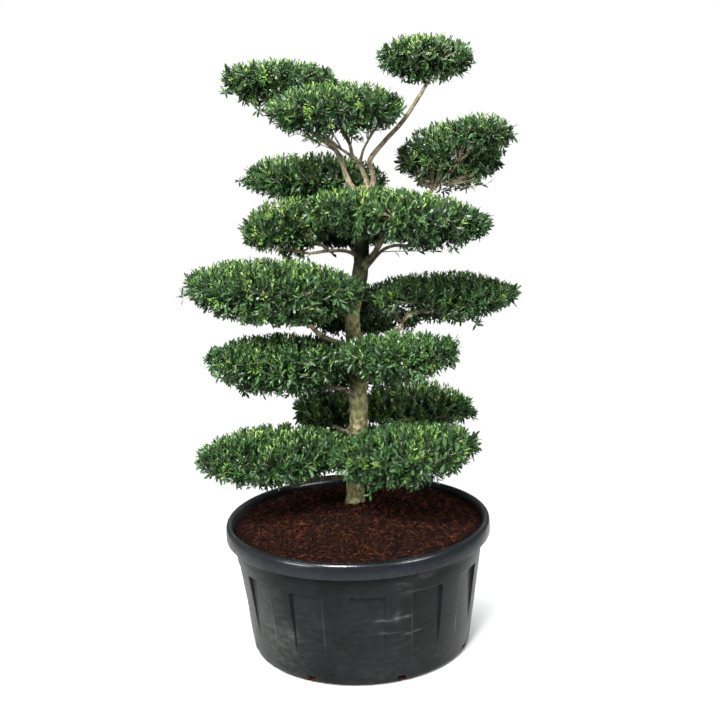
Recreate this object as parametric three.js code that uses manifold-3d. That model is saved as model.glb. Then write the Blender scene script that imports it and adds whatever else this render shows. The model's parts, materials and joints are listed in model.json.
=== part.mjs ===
// A Japanese holly trained as a cloud tree, in a round nursery tub. Millimetres, +Z up.
// The origin is the middle of the tub's flat underside, +X is to the right and +Y to the back.
// Everything is worked out from the sizes named here: the tub, the soil, the trunk's stations,
// the boughs' few bends, and the centre and half sizes of each clipped mass of foliage.
import * as THREE from "three";
import { mergeVertices } from "three/addons/utils/BufferGeometryUtils.js";
import Module from "manifold-3d";

const wasm = await Module();
wasm.setup();

const GAP = 0.3; // clear space between two pieces that touch
const UP = new THREE.Vector3(0, 0, 1);
const GOLDEN_ANGLE = Math.PI * (3 - Math.sqrt(5));

// Tub: a moulded shell with a folded lip, shallow panels round its wall and drain holes at its foot.
const TUB_SEGMENTS = 36;
const TUB_HEIGHT = 479;
const FOOT_RADIUS = 391; // edge of the flat underside
const FOOT_CORNER = 20; // height of the rounded corner above it
const FOOT_BEVEL = { out: 13, up: 6 }; // first step of that corner
const WALL_LOW_RADIUS = 411;
const WALL_TOP_RADIUS = 467; // just under the lip
const WALL_THICKNESS = 7;
const FLOOR_THICKNESS = 9;
const FLOOR_CORNER = { out: 18, up: 6 }; // bevel inside, between floor and wall
const LIP_HEIGHT = 55;
const LIP_RADIUS = 492;
const LIP_SKIRT = 6; // thickness of the turned-down skirt
const LIP_THROAT_RADIUS = 467; // inner edge of the rounded top
const LIP_THROAT_DROP = 7;
const LIP_HOLLOW_TOP = 26; // from the top of the lip down to the hollow under it
const LIP_WALL_FLARE = 4; // how far the wall widens on its way up into the lip
const LIP_ROUNDING = [
  { inward: 2, down: 12 },
  { inward: 8, down: 2 },
  { inward: 15, down: 0 },
];
const PANEL_COUNT = 13;
const PANEL_PHASE = 3.4; // degrees, all azimuths are from the front towards +X
const PANEL_HALF_ANGLE = 6.8;
const PANEL_BEVEL_ANGLE = 1.3;
const PANEL_TOP = 338;
const PANEL_FOOT = 105;
const PANEL_DEPTH = 15; // at the panel's top, running out at its foot
const PANEL_BLOCK_OUT = 12; // how far a cutting block stands out of the wall's face
const DRAIN_COUNT = 8;
const DRAIN_PHASE = 19.4;
const DRAIN_WIDTH = 32;
const DRAIN_HEIGHT = 20;
const DRAIN_SILL = 7;
const DRAIN_DEPTH = 34;

// Soil: fills the tub a little below its lip, clear of the panels' backs, and swells to a low
// plateau round the trunk.
const SOIL_EDGE = 456;
const SOIL_TOP = 494;
const PLATEAU_RADIUS = 170;
const SOIL_STEPS = 3; // rings on the slope between plateau and edge
const SOIL_CLEARANCE = 1; // more room beside the faceted wall
const SOIL_PANEL_CLEARANCE = 4; // more room behind the panels

// Trunk: height, place of its axis and radius, from the flat cut on the soil to the fork.
const TRUNK_SIDES = 10;
const TRUNK_RINGS = 18;
const TRUNK_STATIONS = [
  { z: SOIL_TOP + GAP, x: -9, y: 100, radius: 34 },
  { z: 680, x: 1, y: 90, radius: 33.5 },
  { z: 790, x: 14, y: 85, radius: 34 },
  { z: 960, x: 19, y: 75, radius: 33.5 },
  { z: 1055, x: 14, y: 70, radius: 30 },
  { z: 1150, x: 7, y: 65, radius: 28.5 },
  { z: 1257, x: 8, y: 60, radius: 29 },
  { z: 1313, x: 25, y: 55, radius: 27.5 },
  { z: 1382, x: 41, y: 50, radius: 29.5 },
  { z: 1500, x: 51, y: 45, radius: 25.5 },
  { z: 1640, x: 66, y: 40, radius: 25 },
  { z: 1690, x: 72, y: 40, radius: 27 },
];
const FLARE = 0.22; // extra share of the radius at the cut
const FLARE_HEIGHT = 45;
const FLARE_LOBES = 5;
const FLARE_SWAY = 0.4; // share of the flare that comes and goes with the lobes
const TRUNK_CAP_RISE = 9;
const TRUNK_CAP_INSET = 0.4;

// Boughs: each leaves the trunk at a height, or another bough at a share of its length,
// follows its bends, and ends at the last of them, where it enters its mass.
const BOUGH_SIDES = 5;
const BOUGH_RING_SPACING = 44;
const BOUGH_LEAST_RINGS = 4;
const BOUGHS = [
  {
    name: "bough_top_left",
    height: 1650,
    bends: [
      [18, 48, 1692],
      [-13, 50, 1776],
      [-30, 55, 1815],
      [-70, 85, 1850],
      [-137, 125, 1905],
      [-184, 148, 2000],
    ],
    root: 11,
    tip: 5.5,
  },
  {
    name: "bough_top_right",
    height: 1640,
    bends: [
      [97, 40, 1700],
      [94, 40, 1746],
      [88, 32, 1777],
      [143, 22, 1844],
      [206, 20, 1907],
      [258, 10, 1978],
      [300, 0, 2040],
    ],
    root: 10,
    tip: 6,
  },
  {
    name: "bough_top_middle",
    height: 1645,
    bends: [
      [74, 36, 1700],
      [53, 35, 1761],
      [27, 20, 1797],
      [22, -5, 1822],
      [8, -26, 1868],
    ],
    root: 10.5,
    tip: 5,
  },
  {
    name: "bough_top_middle_right",
    from: "bough_top_middle",
    share: 0.52,
    bends: [
      [56, 20, 1786],
      [66, -4, 1815],
      [84, -22, 1846],
      [118, -50, 1896],
    ],
    root: 5,
    tip: 3.2,
  },
  {
    name: "bough_top_middle_left",
    from: "bough_top_middle",
    share: 0.6,
    bends: [[-5, 2, 1815], [-33, -10, 1834], [-90, -34, 1880]],
    root: 5.5,
    tip: 3.5,
  },
  {
    name: "bough_right_main",
    height: 1585,
    bends: [
      [150, 85, 1606],
      [240, 120, 1622],
      [305, 138, 1655],
      [345, 158, 1706],
    ],
    root: 10,
    tip: 6,
  },
  {
    name: "bough_right_upper",
    from: "bough_right_main",
    share: 0.7,
    bends: [
      [318, 132, 1668],
      [350, 122, 1700],
      [372, 108, 1716],
      [408, 70, 1757],
      [437, 42, 1791],
      [456, 30, 1812],
    ],
    root: 6,
    tip: 4,
  },
  {
    name: "bough_second_back",
    height: 1570,
    bends: [[30, 110, 1606], [-20, 165, 1626], [-66, 212, 1664]],
    root: 10,
    tip: 6,
  },
  {
    name: "bough_third_left",
    height: 1432,
    bends: [
      [4, 22, 1458],
      [-22, 20, 1464],
      [-75, 20, 1465],
      [-146, 24, 1459],
      [-222, 40, 1482],
    ],
    root: 7,
    tip: 4.5,
  },
  {
    name: "bough_third_front",
    height: 1400,
    bends: [[84, 0, 1444], [106, -34, 1474], [140, -82, 1530]],
    root: 11.5,
    tip: 6.5,
  },
  {
    name: "bough_third_right",
    height: 1365,
    bends: [
      [84, 14, 1424],
      [122, -16, 1463],
      [160, -50, 1480],
      [245, -118, 1482],
      [350, -156, 1504],
    ],
    root: 7.5,
    tip: 3.6,
  },
  {
    name: "bough_third_back",
    height: 1405,
    bends: [[24, 110, 1446], [-4, 182, 1487]],
    root: 9,
    tip: 6,
  },
  {
    name: "bough_fourth_left",
    height: 1105,
    bends: [
      [-34, -8, 1128],
      [-84, -46, 1156],
      [-122, -64, 1186],
      [-158, -80, 1226],
      [-240, -104, 1262],
    ],
    root: 11,
    tip: 6,
  },
  {
    name: "bough_fourth_right",
    height: 1095,
    bends: [
      [100, 92, 1112],
      [168, 104, 1144],
      [194, 110, 1188],
      [221, 115, 1209],
      [263, 120, 1221],
      [312, 130, 1216],
    ],
    root: 10,
    tip: 6,
  },
  {
    name: "bough_fourth_back",
    height: 1090,
    bends: [[20, 115, 1106], [44, 174, 1142]],
    root: 8,
    tip: 5.5,
  },
  {
    name: "bough_fifth_left",
    height: 915,
    bends: [[-45, 20, 957], [-95, -8, 974], [-150, -32, 1018]],
    root: 11,
    tip: 6.5,
  },
  {
    name: "bough_fifth_front",
    height: 975,
    bends: [[70, -30, 1000], [120, -120, 1020], [172, -196, 1062]],
    root: 10,
    tip: 6,
  },
  {
    name: "bough_fifth_back",
    height: 915,
    bends: [[0, 140, 936], [-20, 210, 985]],
    root: 10,
    tip: 6,
  },
  {
    name: "bough_sixth_left",
    height: 760,
    bends: [[-50, 118, 776], [-96, 188, 786]],
    root: 9,
    tip: 6,
  },
  {
    name: "bough_sixth_right",
    height: 730,
    bends: [[90, 125, 752], [166, 194, 780]],
    root: 10,
    tip: 6,
  },
  {
    name: "bough_seventh_left",
    height: 590,
    bends: [
      [-80, 40, 612],
      [-170, -10, 622],
      [-267, -50, 634],
      [-352, -76, 674],
    ],
    root: 11,
    tip: 5.5,
  },
  {
    name: "bough_seventh_front",
    height: 580,
    bends: [[45, -10, 604], [100, -95, 632], [132, -150, 690]],
    root: 11,
    tip: 6.5,
  },
  {
    name: "bough_seventh_back",
    height: 560,
    bends: [[8, 180, 576], [24, 254, 612]],
    root: 10,
    tip: 6,
  },
];

// Masses of foliage: the middle of the widest plane, half width along X, half depth along Y,
// rise and drop from that plane, and its slope along X. The bough of the same name carries it.
// Fullness, where given, replaces UNDER_FULLNESS.
const MASSES = [
  {
    name: "top_right",
    middle: [288, 0, 2122],
    half: [175, 150],
    rise: 70, drop: 91, slope: -0.024, fullness: 2.6,
  },
  {
    name: "top_left",
    middle: [-226, 160, 2084],
    half: [217, 190],
    rise: 56, drop: 108, slope: -0.042, fullness: 3,
  },
  {
    name: "top_middle",
    middle: [-28, -80, 1957],
    half: [244, 190],
    rise: 81, drop: 122, slope: 0, fullness: 2.8,
  },
  {
    name: "right_upper",
    middle: [480, 20, 1862],
    half: [121, 120],
    rise: 59, drop: 69, slope: -0.05,
  },
  {
    name: "right_main",
    middle: [385, 180, 1778],
    half: [202, 170],
    rise: 134, drop: 118, slope: -0.01, fullness: 2.5,
  },
  {
    name: "second_back",
    middle: [-119, 260, 1720],
    half: [284, 180],
    rise: 95, drop: 92, slope: -0.05, fullness: 3.2,
  },
  {
    name: "third_left",
    middle: [-223, 60, 1542],
    half: [167, 160],
    rise: 115, drop: 96, slope: 0.05,
  },
  {
    name: "third_front",
    middle: [171, -170, 1594],
    half: [330, 200],
    rise: 84, drop: 116, slope: -0.126, fullness: 2.8,
  },
  {
    name: "third_back",
    middle: [-20, 260, 1520],
    half: [250, 170],
    rise: 60, drop: 60, slope: 0,
  },
  {
    name: "fourth_left",
    middle: [-261, -120, 1364],
    half: [324, 240],
    rise: 86, drop: 135, slope: -0.066, fullness: 4.5,
  },
  {
    name: "fourth_right",
    middle: [320, 180, 1269],
    half: [329, 220],
    rise: 86, drop: 100, slope: 0.01, fullness: 2.8,
  },
  {
    name: "fourth_back",
    middle: [55, 235, 1215],
    half: [275, 150],
    rise: 100, drop: 100, slope: 0, fullness: 3,
  },
  {
    name: "fifth_left",
    middle: [-246, -60, 1101],
    half: [290, 240],
    rise: 71, drop: 141, slope: -0.02, fullness: 2.8,
  },
  {
    name: "fifth_front",
    middle: [162, -240, 1141],
    half: [217, 170],
    rise: 54, drop: 111, slope: 0.008, fullness: 3,
  },
  {
    name: "fifth_back",
    middle: [-20, 270, 1025],
    half: [270, 180],
    rise: 70, drop: 128, slope: 0, fullness: 3,
  },
  {
    name: "sixth_left",
    middle: [-109, 280, 808],
    half: [138, 160],
    rise: 118, drop: 70, slope: -0.036,
  },
  {
    name: "sixth_right",
    middle: [236, 270, 808],
    half: [252, 190],
    rise: 116, drop: 64, slope: -0.035,
  },
  {
    name: "seventh_left",
    middle: [-299, -60, 745],
    half: [296, 250],
    rise: 87, drop: 105, slope: 0.036, fullness: 3.2,
  },
  {
    name: "seventh_front",
    middle: [168, -200, 791],
    half: [278, 220],
    rise: 64, drop: 135, slope: 0.068, fullness: 3.2,
  },
  {
    name: "seventh_back",
    middle: [30, 320, 655],
    half: [290, 180],
    rise: 70, drop: 72, slope: 0,
  },
];

// How every mass is grown
const SEED = 4101;
const CORE_SHARE = 0.8; // the clipped core's share of the mass, the rest is sprays standing out
const CORE_SIDES = 10;
const CORE_LEVELS = [
  { r: 0.35, height: -1 },
  { r: 0.8, height: -1 },
  { r: 1, height: 0 },
  { r: 0.8, height: 1 },
  { r: 0.35, height: 1 },
];
const CORE_LEAST_SHARE = 0.2; // a core beside another mass is drawn in no further than this
const CORE_STEP = 0.04;
const CORE_MARGIN = 0.08; // how far a core stays from the next mass, as a share of its own size
const LEAF_MARGIN = 0.04;
const WOOD_CLEARANCE = 4; // between leaves and the bark of any limb
const HUB_HEIGHT = -0.3; // where the stem divides, a little under the middle of the mass
const OUTLINE_WAVE = 0.06; // unevenness of the clipped outline
const TOP_FULLNESS = 2.6; // how flat a top is before it turns down to the rim
const TOP_ROUNDING = 0.75;
const UNDER_FULLNESS = 2.2; // the same of an underside
const UNDER_ROUNDING = 0.8;
const SPOKES = 3;
const SPOKE_SWAY = 0.3; // share of the angle between two spokes
const SPOKE_REACH = 0.9;
const SPOKE_RADIUS = 5.5;
const FORK_SHARE = 0.55; // where a spoke forks
const FORK_ANGLE = 0.75;
const FORK_THINNING = 0.7;
const SPRAY_LENGTH = 60; // on a mass of no width
const SPRAY_GROWTH = 0.26; // extra length, as a share of the mass's half width
const SPRAY_LENGTH_LEAST = 0.85; // shares of that length between which it varies
const SPRAY_LENGTH_SPREAD = 0.3;
const SPRAY_WIDTH = 0.62; // shares of the spray's length
const SPRAY_THICKNESS = 0.16;
const SPRAY_WAIST = 0.55; // where along its length a spray is widest
const SPRAY_SWAY = 0.25;
const RIM_LIFT = 0.12;
const MIDDLE_LIFT = 0.62; // upward share of a spray's lean over the middle of the mass
const LIFT_LOSS = 0.4; // less of it towards the rim
const ROOT_DEPTH = 0.64; // roots are drawn in until they lie this far out, inside the core
const ROOT_STEP = 0.12;
const ROOT_STEPS = 12;
const SPRAYS_PER_AREA = 1 / 10300; // sprays for each square millimetre of the mass seen from above
const RIM_SHARE = 0.42; // sprays that ring the edge, the rest are on top and underneath
const TOP_SHARE = 0.36;
const TOP_SPREAD = 0.86; // how far out the sprays on top and underneath are dealt
const UNDER_SPREAD = 0.84;

const COLOURS = {
  tub: 0x2b2e30,
  soil: 0x4a2216,
  bark: 0x8b8068,
  foliage: 0x2f5a2a,
};

// Small helpers

const vector = (x, y, z) => new THREE.Vector3(x, y, z);
const radians = THREE.MathUtils.degToRad;

// The direction of an azimuth, in degrees from the front (-Y) towards +X.
const azimuth = (degrees) => vector(Math.sin(radians(degrees)), -Math.cos(radians(degrees)), 0);

// A repeatable random number from 0 to 1: a 32-bit counter stirred by shifts and multiplications.
function seededRandom(seed) {
  let state = seed >>> 0;
  return () => {
    state = (state + 0x6d2b79f5) >>> 0;
    let mixed = Math.imul(state ^ (state >>> 15), state | 1);
    mixed ^= mixed + Math.imul(mixed ^ (mixed >>> 7), mixed | 61);
    return ((mixed ^ (mixed >>> 14)) >>> 0) / 4294967296;
  };
}

// A closed mesh as a solid, with shared corners merged and its faces turned outward.
function solid(geometry) {
  const bare = geometry.index ? geometry.toNonIndexed() : geometry.clone();
  bare.deleteAttribute("normal");
  bare.deleteAttribute("uv");
  const merged = mergeVertices(bare, 1e-3);
  const corners = merged.index.array;
  const kept = [];
  for (let i = 0; i < corners.length; i += 3) {
    const [a, b, c] = corners.slice(i, i + 3);
    if (a !== b && b !== c && c !== a) kept.push(a, b, c);
  }
  const make = (triVerts) =>
    new wasm.Manifold(
      new wasm.Mesh({ numProp: 3, vertProperties: merged.attributes.position.array, triVerts }),
    );
  const made = make(new Uint32Array(kept));
  return made.volume() > 0 ? made : make(new Uint32Array(kept.reverse()));
}

// A solid's own mesh as a geometry.
function geometryOf(body) {
  const mesh = body.getMesh();
  const positions = new Float32Array(mesh.numVert * 3);
  for (let i = 0; i < mesh.numVert; i += 1) {
    const start = i * mesh.numProp;
    positions.set(mesh.vertProperties.subarray(start, start + 3), i * 3);
  }
  const geometry = new THREE.BufferGeometry();
  geometry.setAttribute("position", new THREE.BufferAttribute(positions, 3));
  geometry.setIndex(new THREE.BufferAttribute(new Uint32Array(mesh.triVerts), 1));
  geometry.computeVertexNormals();
  return geometry;
}

const joined = (bodies) => bodies.reduce((sum, body) => sum.add(body));
const cutBy = (body, tools) => tools.reduce((rest, tool) => rest.subtract(tool), body);

// The largest body of a solid: what a cut leaves loose beside it is dropped.
function largest(body) {
  return body.decompose().reduce((best, one) => (one.volume() > best.volume() ? one : best));
}

// Rings of corners, each ring an array of vectors, skinned to a closed surface with a fan at each end.
function skin(rings) {
  const sides = rings[0].length;
  const corners = rings.flat();
  const middle = (ring) => ring.reduce((sum, p) => sum.add(p), vector(0, 0, 0)).divideScalar(sides);
  const first = corners.push(middle(rings[0])) - 1;
  const last = corners.push(middle(rings[rings.length - 1])) - 1;
  const faces = [];
  for (let side = 0; side < sides; side += 1) {
    const next = (side + 1) % sides;
    for (let ring = 0; ring + 1 < rings.length; ring += 1) {
      const low = ring * sides;
      const high = low + sides;
      faces.push(low + side, low + next, high + next, low + side, high + next, high + side);
    }
    const top = (rings.length - 1) * sides;
    faces.push(first, next, side, last, top + side, top + next);
  }
  const geometry = new THREE.BufferGeometry().setFromPoints(corners);
  geometry.setIndex(faces);
  return geometry;
}

// Rings round a path, their corners carried along it without twisting.
// size(share, angle) is the radius at a share of the way and an angle round the path.
function tube(points, sides, size) {
  const tangents = points.map((_, i) => {
    const before = points[Math.max(i - 1, 0)];
    const after = points[Math.min(i + 1, points.length - 1)];
    return after.clone().sub(before).normalize();
  });
  const start = Math.abs(tangents[0].z) < 0.9 ? UP : vector(1, 0, 0);
  let across = start.clone().cross(tangents[0]).normalize();
  const rings = points.map((point, i) => {
    const tangent = tangents[i];
    across = across.clone().addScaledVector(tangent, -across.dot(tangent)).normalize();
    const beside = tangent.clone().cross(across);
    return Array.from({ length: sides }, (_, side) => {
      const angle = (2 * Math.PI * side) / sides;
      const radius = size(i / (points.length - 1), angle);
      return point
        .clone()
        .addScaledVector(across, radius * Math.cos(angle))
        .addScaledVector(beside, radius * Math.sin(angle));
    });
  });
  return skin(rings);
}

// A path made longer at both ends, along its own first and last direction.
function lengthened(points, extra) {
  const longer = points.map((p) => p.clone());
  const last = longer.length - 1;
  longer[0].addScaledVector(points[0].clone().sub(points[1]).normalize(), extra);
  longer[last].addScaledVector(points[last].clone().sub(points[last - 1]).normalize(), extra);
  return longer;
}

// Tub and soil

// The outer radius of the tub's wall at a height.
function wallRadius(z) {
  const share = (z - FOOT_CORNER) / (TUB_HEIGHT - LIP_HEIGHT - FOOT_CORNER);
  return WALL_LOW_RADIUS + (WALL_TOP_RADIUS - WALL_LOW_RADIUS) * share;
}

// A block whose face is one panel: it is inset from the wall by the panel's depth at its top, which
// runs out at its foot, and its sides are bevelled. With a wall it is moved inward by as much.
function panelBlock(azimuthOfPanel, wall) {
  const angles = [
    -PANEL_HALF_ANGLE - PANEL_BEVEL_ANGLE,
    -PANEL_HALF_ANGLE,
    0,
    PANEL_HALF_ANGLE,
    PANEL_HALF_ANGLE + PANEL_BEVEL_ANGLE,
  ];
  const sideways = wall / 4 / WALL_LOW_RADIUS / radians(1); // in degrees
  const ring = (z, depth) => {
    const face = angles.map((angle, i) => {
      const bevel = i === 0 || i === angles.length - 1;
      const wider = angle + Math.sign(angle) * sideways;
      const radius = wallRadius(z) - wall - (bevel ? 0 : depth);
      return azimuth(azimuthOfPanel + wider).multiplyScalar(radius).setZ(z);
    });
    const back = [1, -1].map((side) => {
      const wider = side * (PANEL_HALF_ANGLE + PANEL_BEVEL_ANGLE + sideways);
      return azimuth(azimuthOfPanel + wider)
        .multiplyScalar(wallRadius(z) + PANEL_BLOCK_OUT)
        .setZ(z);
    });
    return [...face, ...back];
  };
  return solid(skin([ring(PANEL_FOOT, 0), ring(PANEL_TOP + wall, PANEL_DEPTH)]));
}

const panelAzimuths = Array.from(
  { length: PANEL_COUNT },
  (_, i) => PANEL_PHASE + (360 / PANEL_COUNT) * i,
);

// A profile of [radius, height] pairs turned round the Z axis.
function turned(profile) {
  const points = profile.map(([radius, z]) => new THREE.Vector2(radius, z));
  return solid(new THREE.LatheGeometry(points, TUB_SEGMENTS).rotateX(Math.PI / 2));
}

function makeTub() {
  const lipBottom = TUB_HEIGHT - LIP_HEIGHT;
  const hollowTop = TUB_HEIGHT - LIP_HOLLOW_TOP;
  const innerLow = WALL_LOW_RADIUS - WALL_THICKNESS;
  const shell = turned([
    [0, 0],
    [FOOT_RADIUS, 0],
    [FOOT_RADIUS + FOOT_BEVEL.out, FOOT_BEVEL.up],
    [WALL_LOW_RADIUS, FOOT_CORNER],
    [WALL_TOP_RADIUS, lipBottom],
    [WALL_TOP_RADIUS + LIP_WALL_FLARE, hollowTop],
    [LIP_RADIUS - LIP_SKIRT, hollowTop],
    [LIP_RADIUS - LIP_SKIRT, lipBottom],
    [LIP_RADIUS, lipBottom],
    ...LIP_ROUNDING.map(({ inward, down }) => [LIP_RADIUS - inward, TUB_HEIGHT - down]),
    [LIP_THROAT_RADIUS, TUB_HEIGHT - LIP_THROAT_DROP],
    [WALL_TOP_RADIUS - WALL_THICKNESS, lipBottom],
    [innerLow, FOOT_CORNER + FLOOR_CORNER.up],
    [innerLow - FLOOR_CORNER.out, FLOOR_THICKNESS],
    [0, FLOOR_THICKNESS],
  ]);
  const backing = panelAzimuths.map((at) => panelBlock(at, WALL_THICKNESS).intersect(insideWall()));
  const panels = panelAzimuths.map((at) => panelBlock(at, 0));
  return cutBy(joined([shell, ...backing]), [...panels, ...drainHoles()]);
}

// All that lies within the middle of the wall's thickness: keeps the panels' backing off the outside.
function insideWall() {
  const half = WALL_THICKNESS / 2;
  return turned([
    [0, FOOT_CORNER],
    [WALL_LOW_RADIUS - half, FOOT_CORNER],
    [WALL_TOP_RADIUS - half, TUB_HEIGHT - LIP_HEIGHT],
    [0, TUB_HEIGHT - LIP_HEIGHT],
  ]);
}

function drainHoles() {
  return Array.from({ length: DRAIN_COUNT }, (_, i) => {
    const at = DRAIN_PHASE + (360 / DRAIN_COUNT) * i;
    const place = azimuth(at).multiplyScalar(FOOT_RADIUS).setZ(DRAIN_SILL + DRAIN_HEIGHT / 2);
    const hole = new THREE.BoxGeometry(DRAIN_WIDTH, DRAIN_DEPTH, DRAIN_HEIGHT);
    hole.rotateZ(radians(at)).translate(place.x, place.y, place.z);
    return solid(hole);
  });
}

function makeSoil() {
  const inner = (z) => wallRadius(z) - WALL_THICKNESS - GAP;
  const slope = Array.from({ length: SOIL_STEPS + 1 }, (_, i) => {
    const share = i / SOIL_STEPS;
    const fall = (SOIL_TOP - SOIL_EDGE) * (0.5 + 0.5 * Math.cos(Math.PI * share));
    const radius = THREE.MathUtils.lerp(PLATEAU_RADIUS, inner(SOIL_EDGE) - SOIL_CLEARANCE, share);
    return [radius, SOIL_EDGE + fall];
  }).reverse();
  const abovePanels = PANEL_TOP + 3 * WALL_THICKNESS;
  const behindPanels = inner(PANEL_TOP) - PANEL_DEPTH - SOIL_PANEL_CLEARANCE;
  const bottom = FLOOR_THICKNESS + GAP;
  const corner = FOOT_CORNER + FLOOR_CORNER.up;
  return turned([
    [0, bottom],
    [WALL_LOW_RADIUS - WALL_THICKNESS - FLOOR_CORNER.out - GAP, bottom],
    [inner(corner) - SOIL_CLEARANCE, corner],
    [inner(PANEL_FOOT) - SOIL_PANEL_CLEARANCE, PANEL_FOOT],
    [behindPanels, abovePanels - WALL_THICKNESS],
    [inner(abovePanels) - SOIL_CLEARANCE, abovePanels],
    ...slope,
    [0, SOIL_TOP],
  ]);
}

// Trunk and boughs

const trunkCurve = new THREE.CatmullRomCurve3(
  TRUNK_STATIONS.map(({ x, y, z }) => vector(x, y, z)),
  false,
  "centripetal",
);
const trunkPath = trunkCurve.getSpacedPoints(TRUNK_RINGS);

// The trunk's radius at a height, in a straight line between its stations.
function trunkRadius(z) {
  const above = TRUNK_STATIONS.findIndex((station) => station.z >= z);
  if (above < 0) return TRUNK_STATIONS[TRUNK_STATIONS.length - 1].radius;
  const high = TRUNK_STATIONS[above];
  const low = TRUNK_STATIONS[Math.max(above - 1, 0)];
  const share = high.z > low.z ? (z - low.z) / (high.z - low.z) : 0;
  return THREE.MathUtils.lerp(low.radius, high.radius, share);
}

// The place of the trunk's axis at a height.
function trunkAxis(z) {
  const above = Math.max(trunkPath.findIndex((p) => p.z >= z), 1);
  const [low, high] = [trunkPath[above - 1], trunkPath[above]];
  return low.clone().lerp(high, (z - low.z) / (high.z - low.z));
}

// The root flare swells in lobes over the last few centimetres above the cut.
function flare(z, angle) {
  const share = Math.max(1 - (z - SOIL_TOP) / FLARE_HEIGHT, 0);
  const lobes = 1 - FLARE_SWAY + FLARE_SWAY * Math.cos(FLARE_LOBES * angle);
  return 1 + FLARE * share * share * lobes;
}

function trunkSolid(grow) {
  const foot = trunkPath[0].clone();
  const steps = [0, FLARE_HEIGHT / 3, (FLARE_HEIGHT * 2) / 3].map((rise) => trunkAxis(foot.z + rise));
  const points = [...steps, ...trunkPath.slice(1)];
  const path = grow ? lengthened(points, grow) : points;
  const rings = path.map((point) =>
    Array.from({ length: TRUNK_SIDES }, (_, side) => {
      const angle = (2 * Math.PI * side) / TRUNK_SIDES;
      const radius = trunkRadius(point.z) * flare(point.z, angle) + grow;
      return vector(point.x + radius * Math.cos(angle), point.y + radius * Math.sin(angle), point.z);
    }),
  );
  const crown = path[path.length - 1].clone();
  const cap = rings[rings.length - 1].map((p) =>
    p.clone().lerp(crown, TRUNK_CAP_INSET).setZ(crown.z + TRUNK_CAP_RISE),
  );
  return solid(skin([...rings, cap]));
}

// Each bough's path, worked out once, with its radius at every point.
const boughs = new Map();
for (const spec of BOUGHS) {
  const parent = boughs.get(spec.from);
  const start = parent ? parent.curve.getPointAt(spec.share) : trunkAxis(spec.height);
  const bends = spec.bends.map((bend) => vector(...bend));
  const curve = new THREE.CatmullRomCurve3([start, ...bends], false, "centripetal");
  const steps = Math.max(Math.round(curve.getLength() / BOUGH_RING_SPACING), BOUGH_LEAST_RINGS);
  const radius = (share) => THREE.MathUtils.lerp(spec.root, spec.tip, share);
  boughs.set(spec.name, { ...spec, curve, path: curve.getSpacedPoints(steps), radius });
}

function boughSolid(bough, grow) {
  const path = grow ? lengthened(bough.path, grow) : bough.path;
  return solid(tube(path, BOUGH_SIDES, (share) => bough.radius(share) + grow));
}

const trunkClearance = trunkSolid(GAP);
const boughClearances = new Map(
  [...boughs].map(([name, bough]) => [name, boughSolid(bough, GAP)]),
);

// A bough with the trunk and every bough listed before it cut clear.
function makeBough(name) {
  const names = [...boughs.keys()];
  const earlier = names.slice(0, names.indexOf(name)).map((other) => boughClearances.get(other));
  return largest(cutBy(boughSolid(boughs.get(name), 0), [trunkClearance, ...earlier]));
}

// Masses of foliage

// The clipped outline seen from above: full at the two ends, uneven front and back.
function outline(mass, angle) {
  const side = Math.sin(angle);
  return 1 - OUTLINE_WAVE * side * side * (1 + Math.sin(3 * angle + mass.phase));
}

// A dome's height over the plane, from 1 in the middle to 0 at the rim.
function domeHeight(r, fullness, rounding) {
  return Math.pow(Math.max(1 - Math.pow(r, fullness), 0), rounding);
}

// A point of the mass: angle round it, share of the way out to its outline, and height
// from -1 on its underside to 1 on its top.
function pointIn(mass, angle, r, height) {
  const reach = r * outline(mass, angle);
  const dx = mass.half[0] * reach * Math.cos(angle);
  const dy = mass.half[1] * reach * Math.sin(angle);
  const above = mass.rise * domeHeight(r, TOP_FULLNESS, TOP_ROUNDING);
  const below = mass.drop * domeHeight(r, mass.fullness, UNDER_ROUNDING);
  const dz = height * (height > 0 ? above : below);
  return mass.centre.clone().add(vector(dx, dy, dz + mass.slope * dx));
}

// How far out a point is: 0 in the middle of a mass and 1 about on its surface.
function measure(mass, point) {
  const dx = point.x - mass.centre.x;
  const u = dx / mass.half[0];
  const v = (point.y - mass.centre.y) / mass.half[1];
  const w = point.z - mass.centre.z - mass.slope * dx;
  const r = Math.hypot(u, v) / outline(mass, Math.atan2(v, u));
  return Math.hypot(r, w / (w > 0 ? mass.rise : mass.drop));
}

const masses = MASSES.map((spec, index) => {
  const random = seededRandom(SEED + index);
  const mass = { fullness: UNDER_FULLNESS, ...spec, random };
  mass.centre = vector(...spec.middle);
  mass.phase = 2 * Math.PI * random();
  mass.hub = pointIn(mass, 0, 0, HUB_HEIGHT);
  return mass;
});

// A point belongs to the mass that it is nearest to, by that mass's own size.
function ownSpace(mass, point, margin) {
  const own = measure(mass, point) + margin;
  return masses.every((other) => other === mass || measure(other, point) > own);
}

// The trunk and every bough as points with a radius.
const woodPoints = [
  ...trunkPath.map((point) => ({ point, radius: trunkRadius(point.z) })),
  ...[...boughs.values()].flatMap((bough) =>
    bough.path.map((point, i) => ({ point, radius: bough.radius(i / (bough.path.length - 1)) })),
  ),
];

const clearOfWood = (point) =>
  woodPoints.every((wood) => wood.point.distanceTo(point) > wood.radius + WOOD_CLEARANCE);

// The core: rings of the mass's own shape at CORE_SHARE of its size, drawn in from the next mass.
function coreSolid(mass) {
  const rings = CORE_LEVELS.map(({ r, height }) =>
    Array.from({ length: CORE_SIDES }, (_, side) => {
      const surface = pointIn(mass, (2 * Math.PI * side) / CORE_SIDES, r, height);
      let share = CORE_SHARE;
      let corner = mass.centre.clone().lerp(surface, share);
      while (share > CORE_LEAST_SHARE && !ownSpace(mass, corner, CORE_MARGIN)) {
        share -= CORE_STEP;
        corner = mass.centre.clone().lerp(surface, share);
      }
      return corner;
    }),
  );
  return solid(skin(rings));
}

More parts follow.
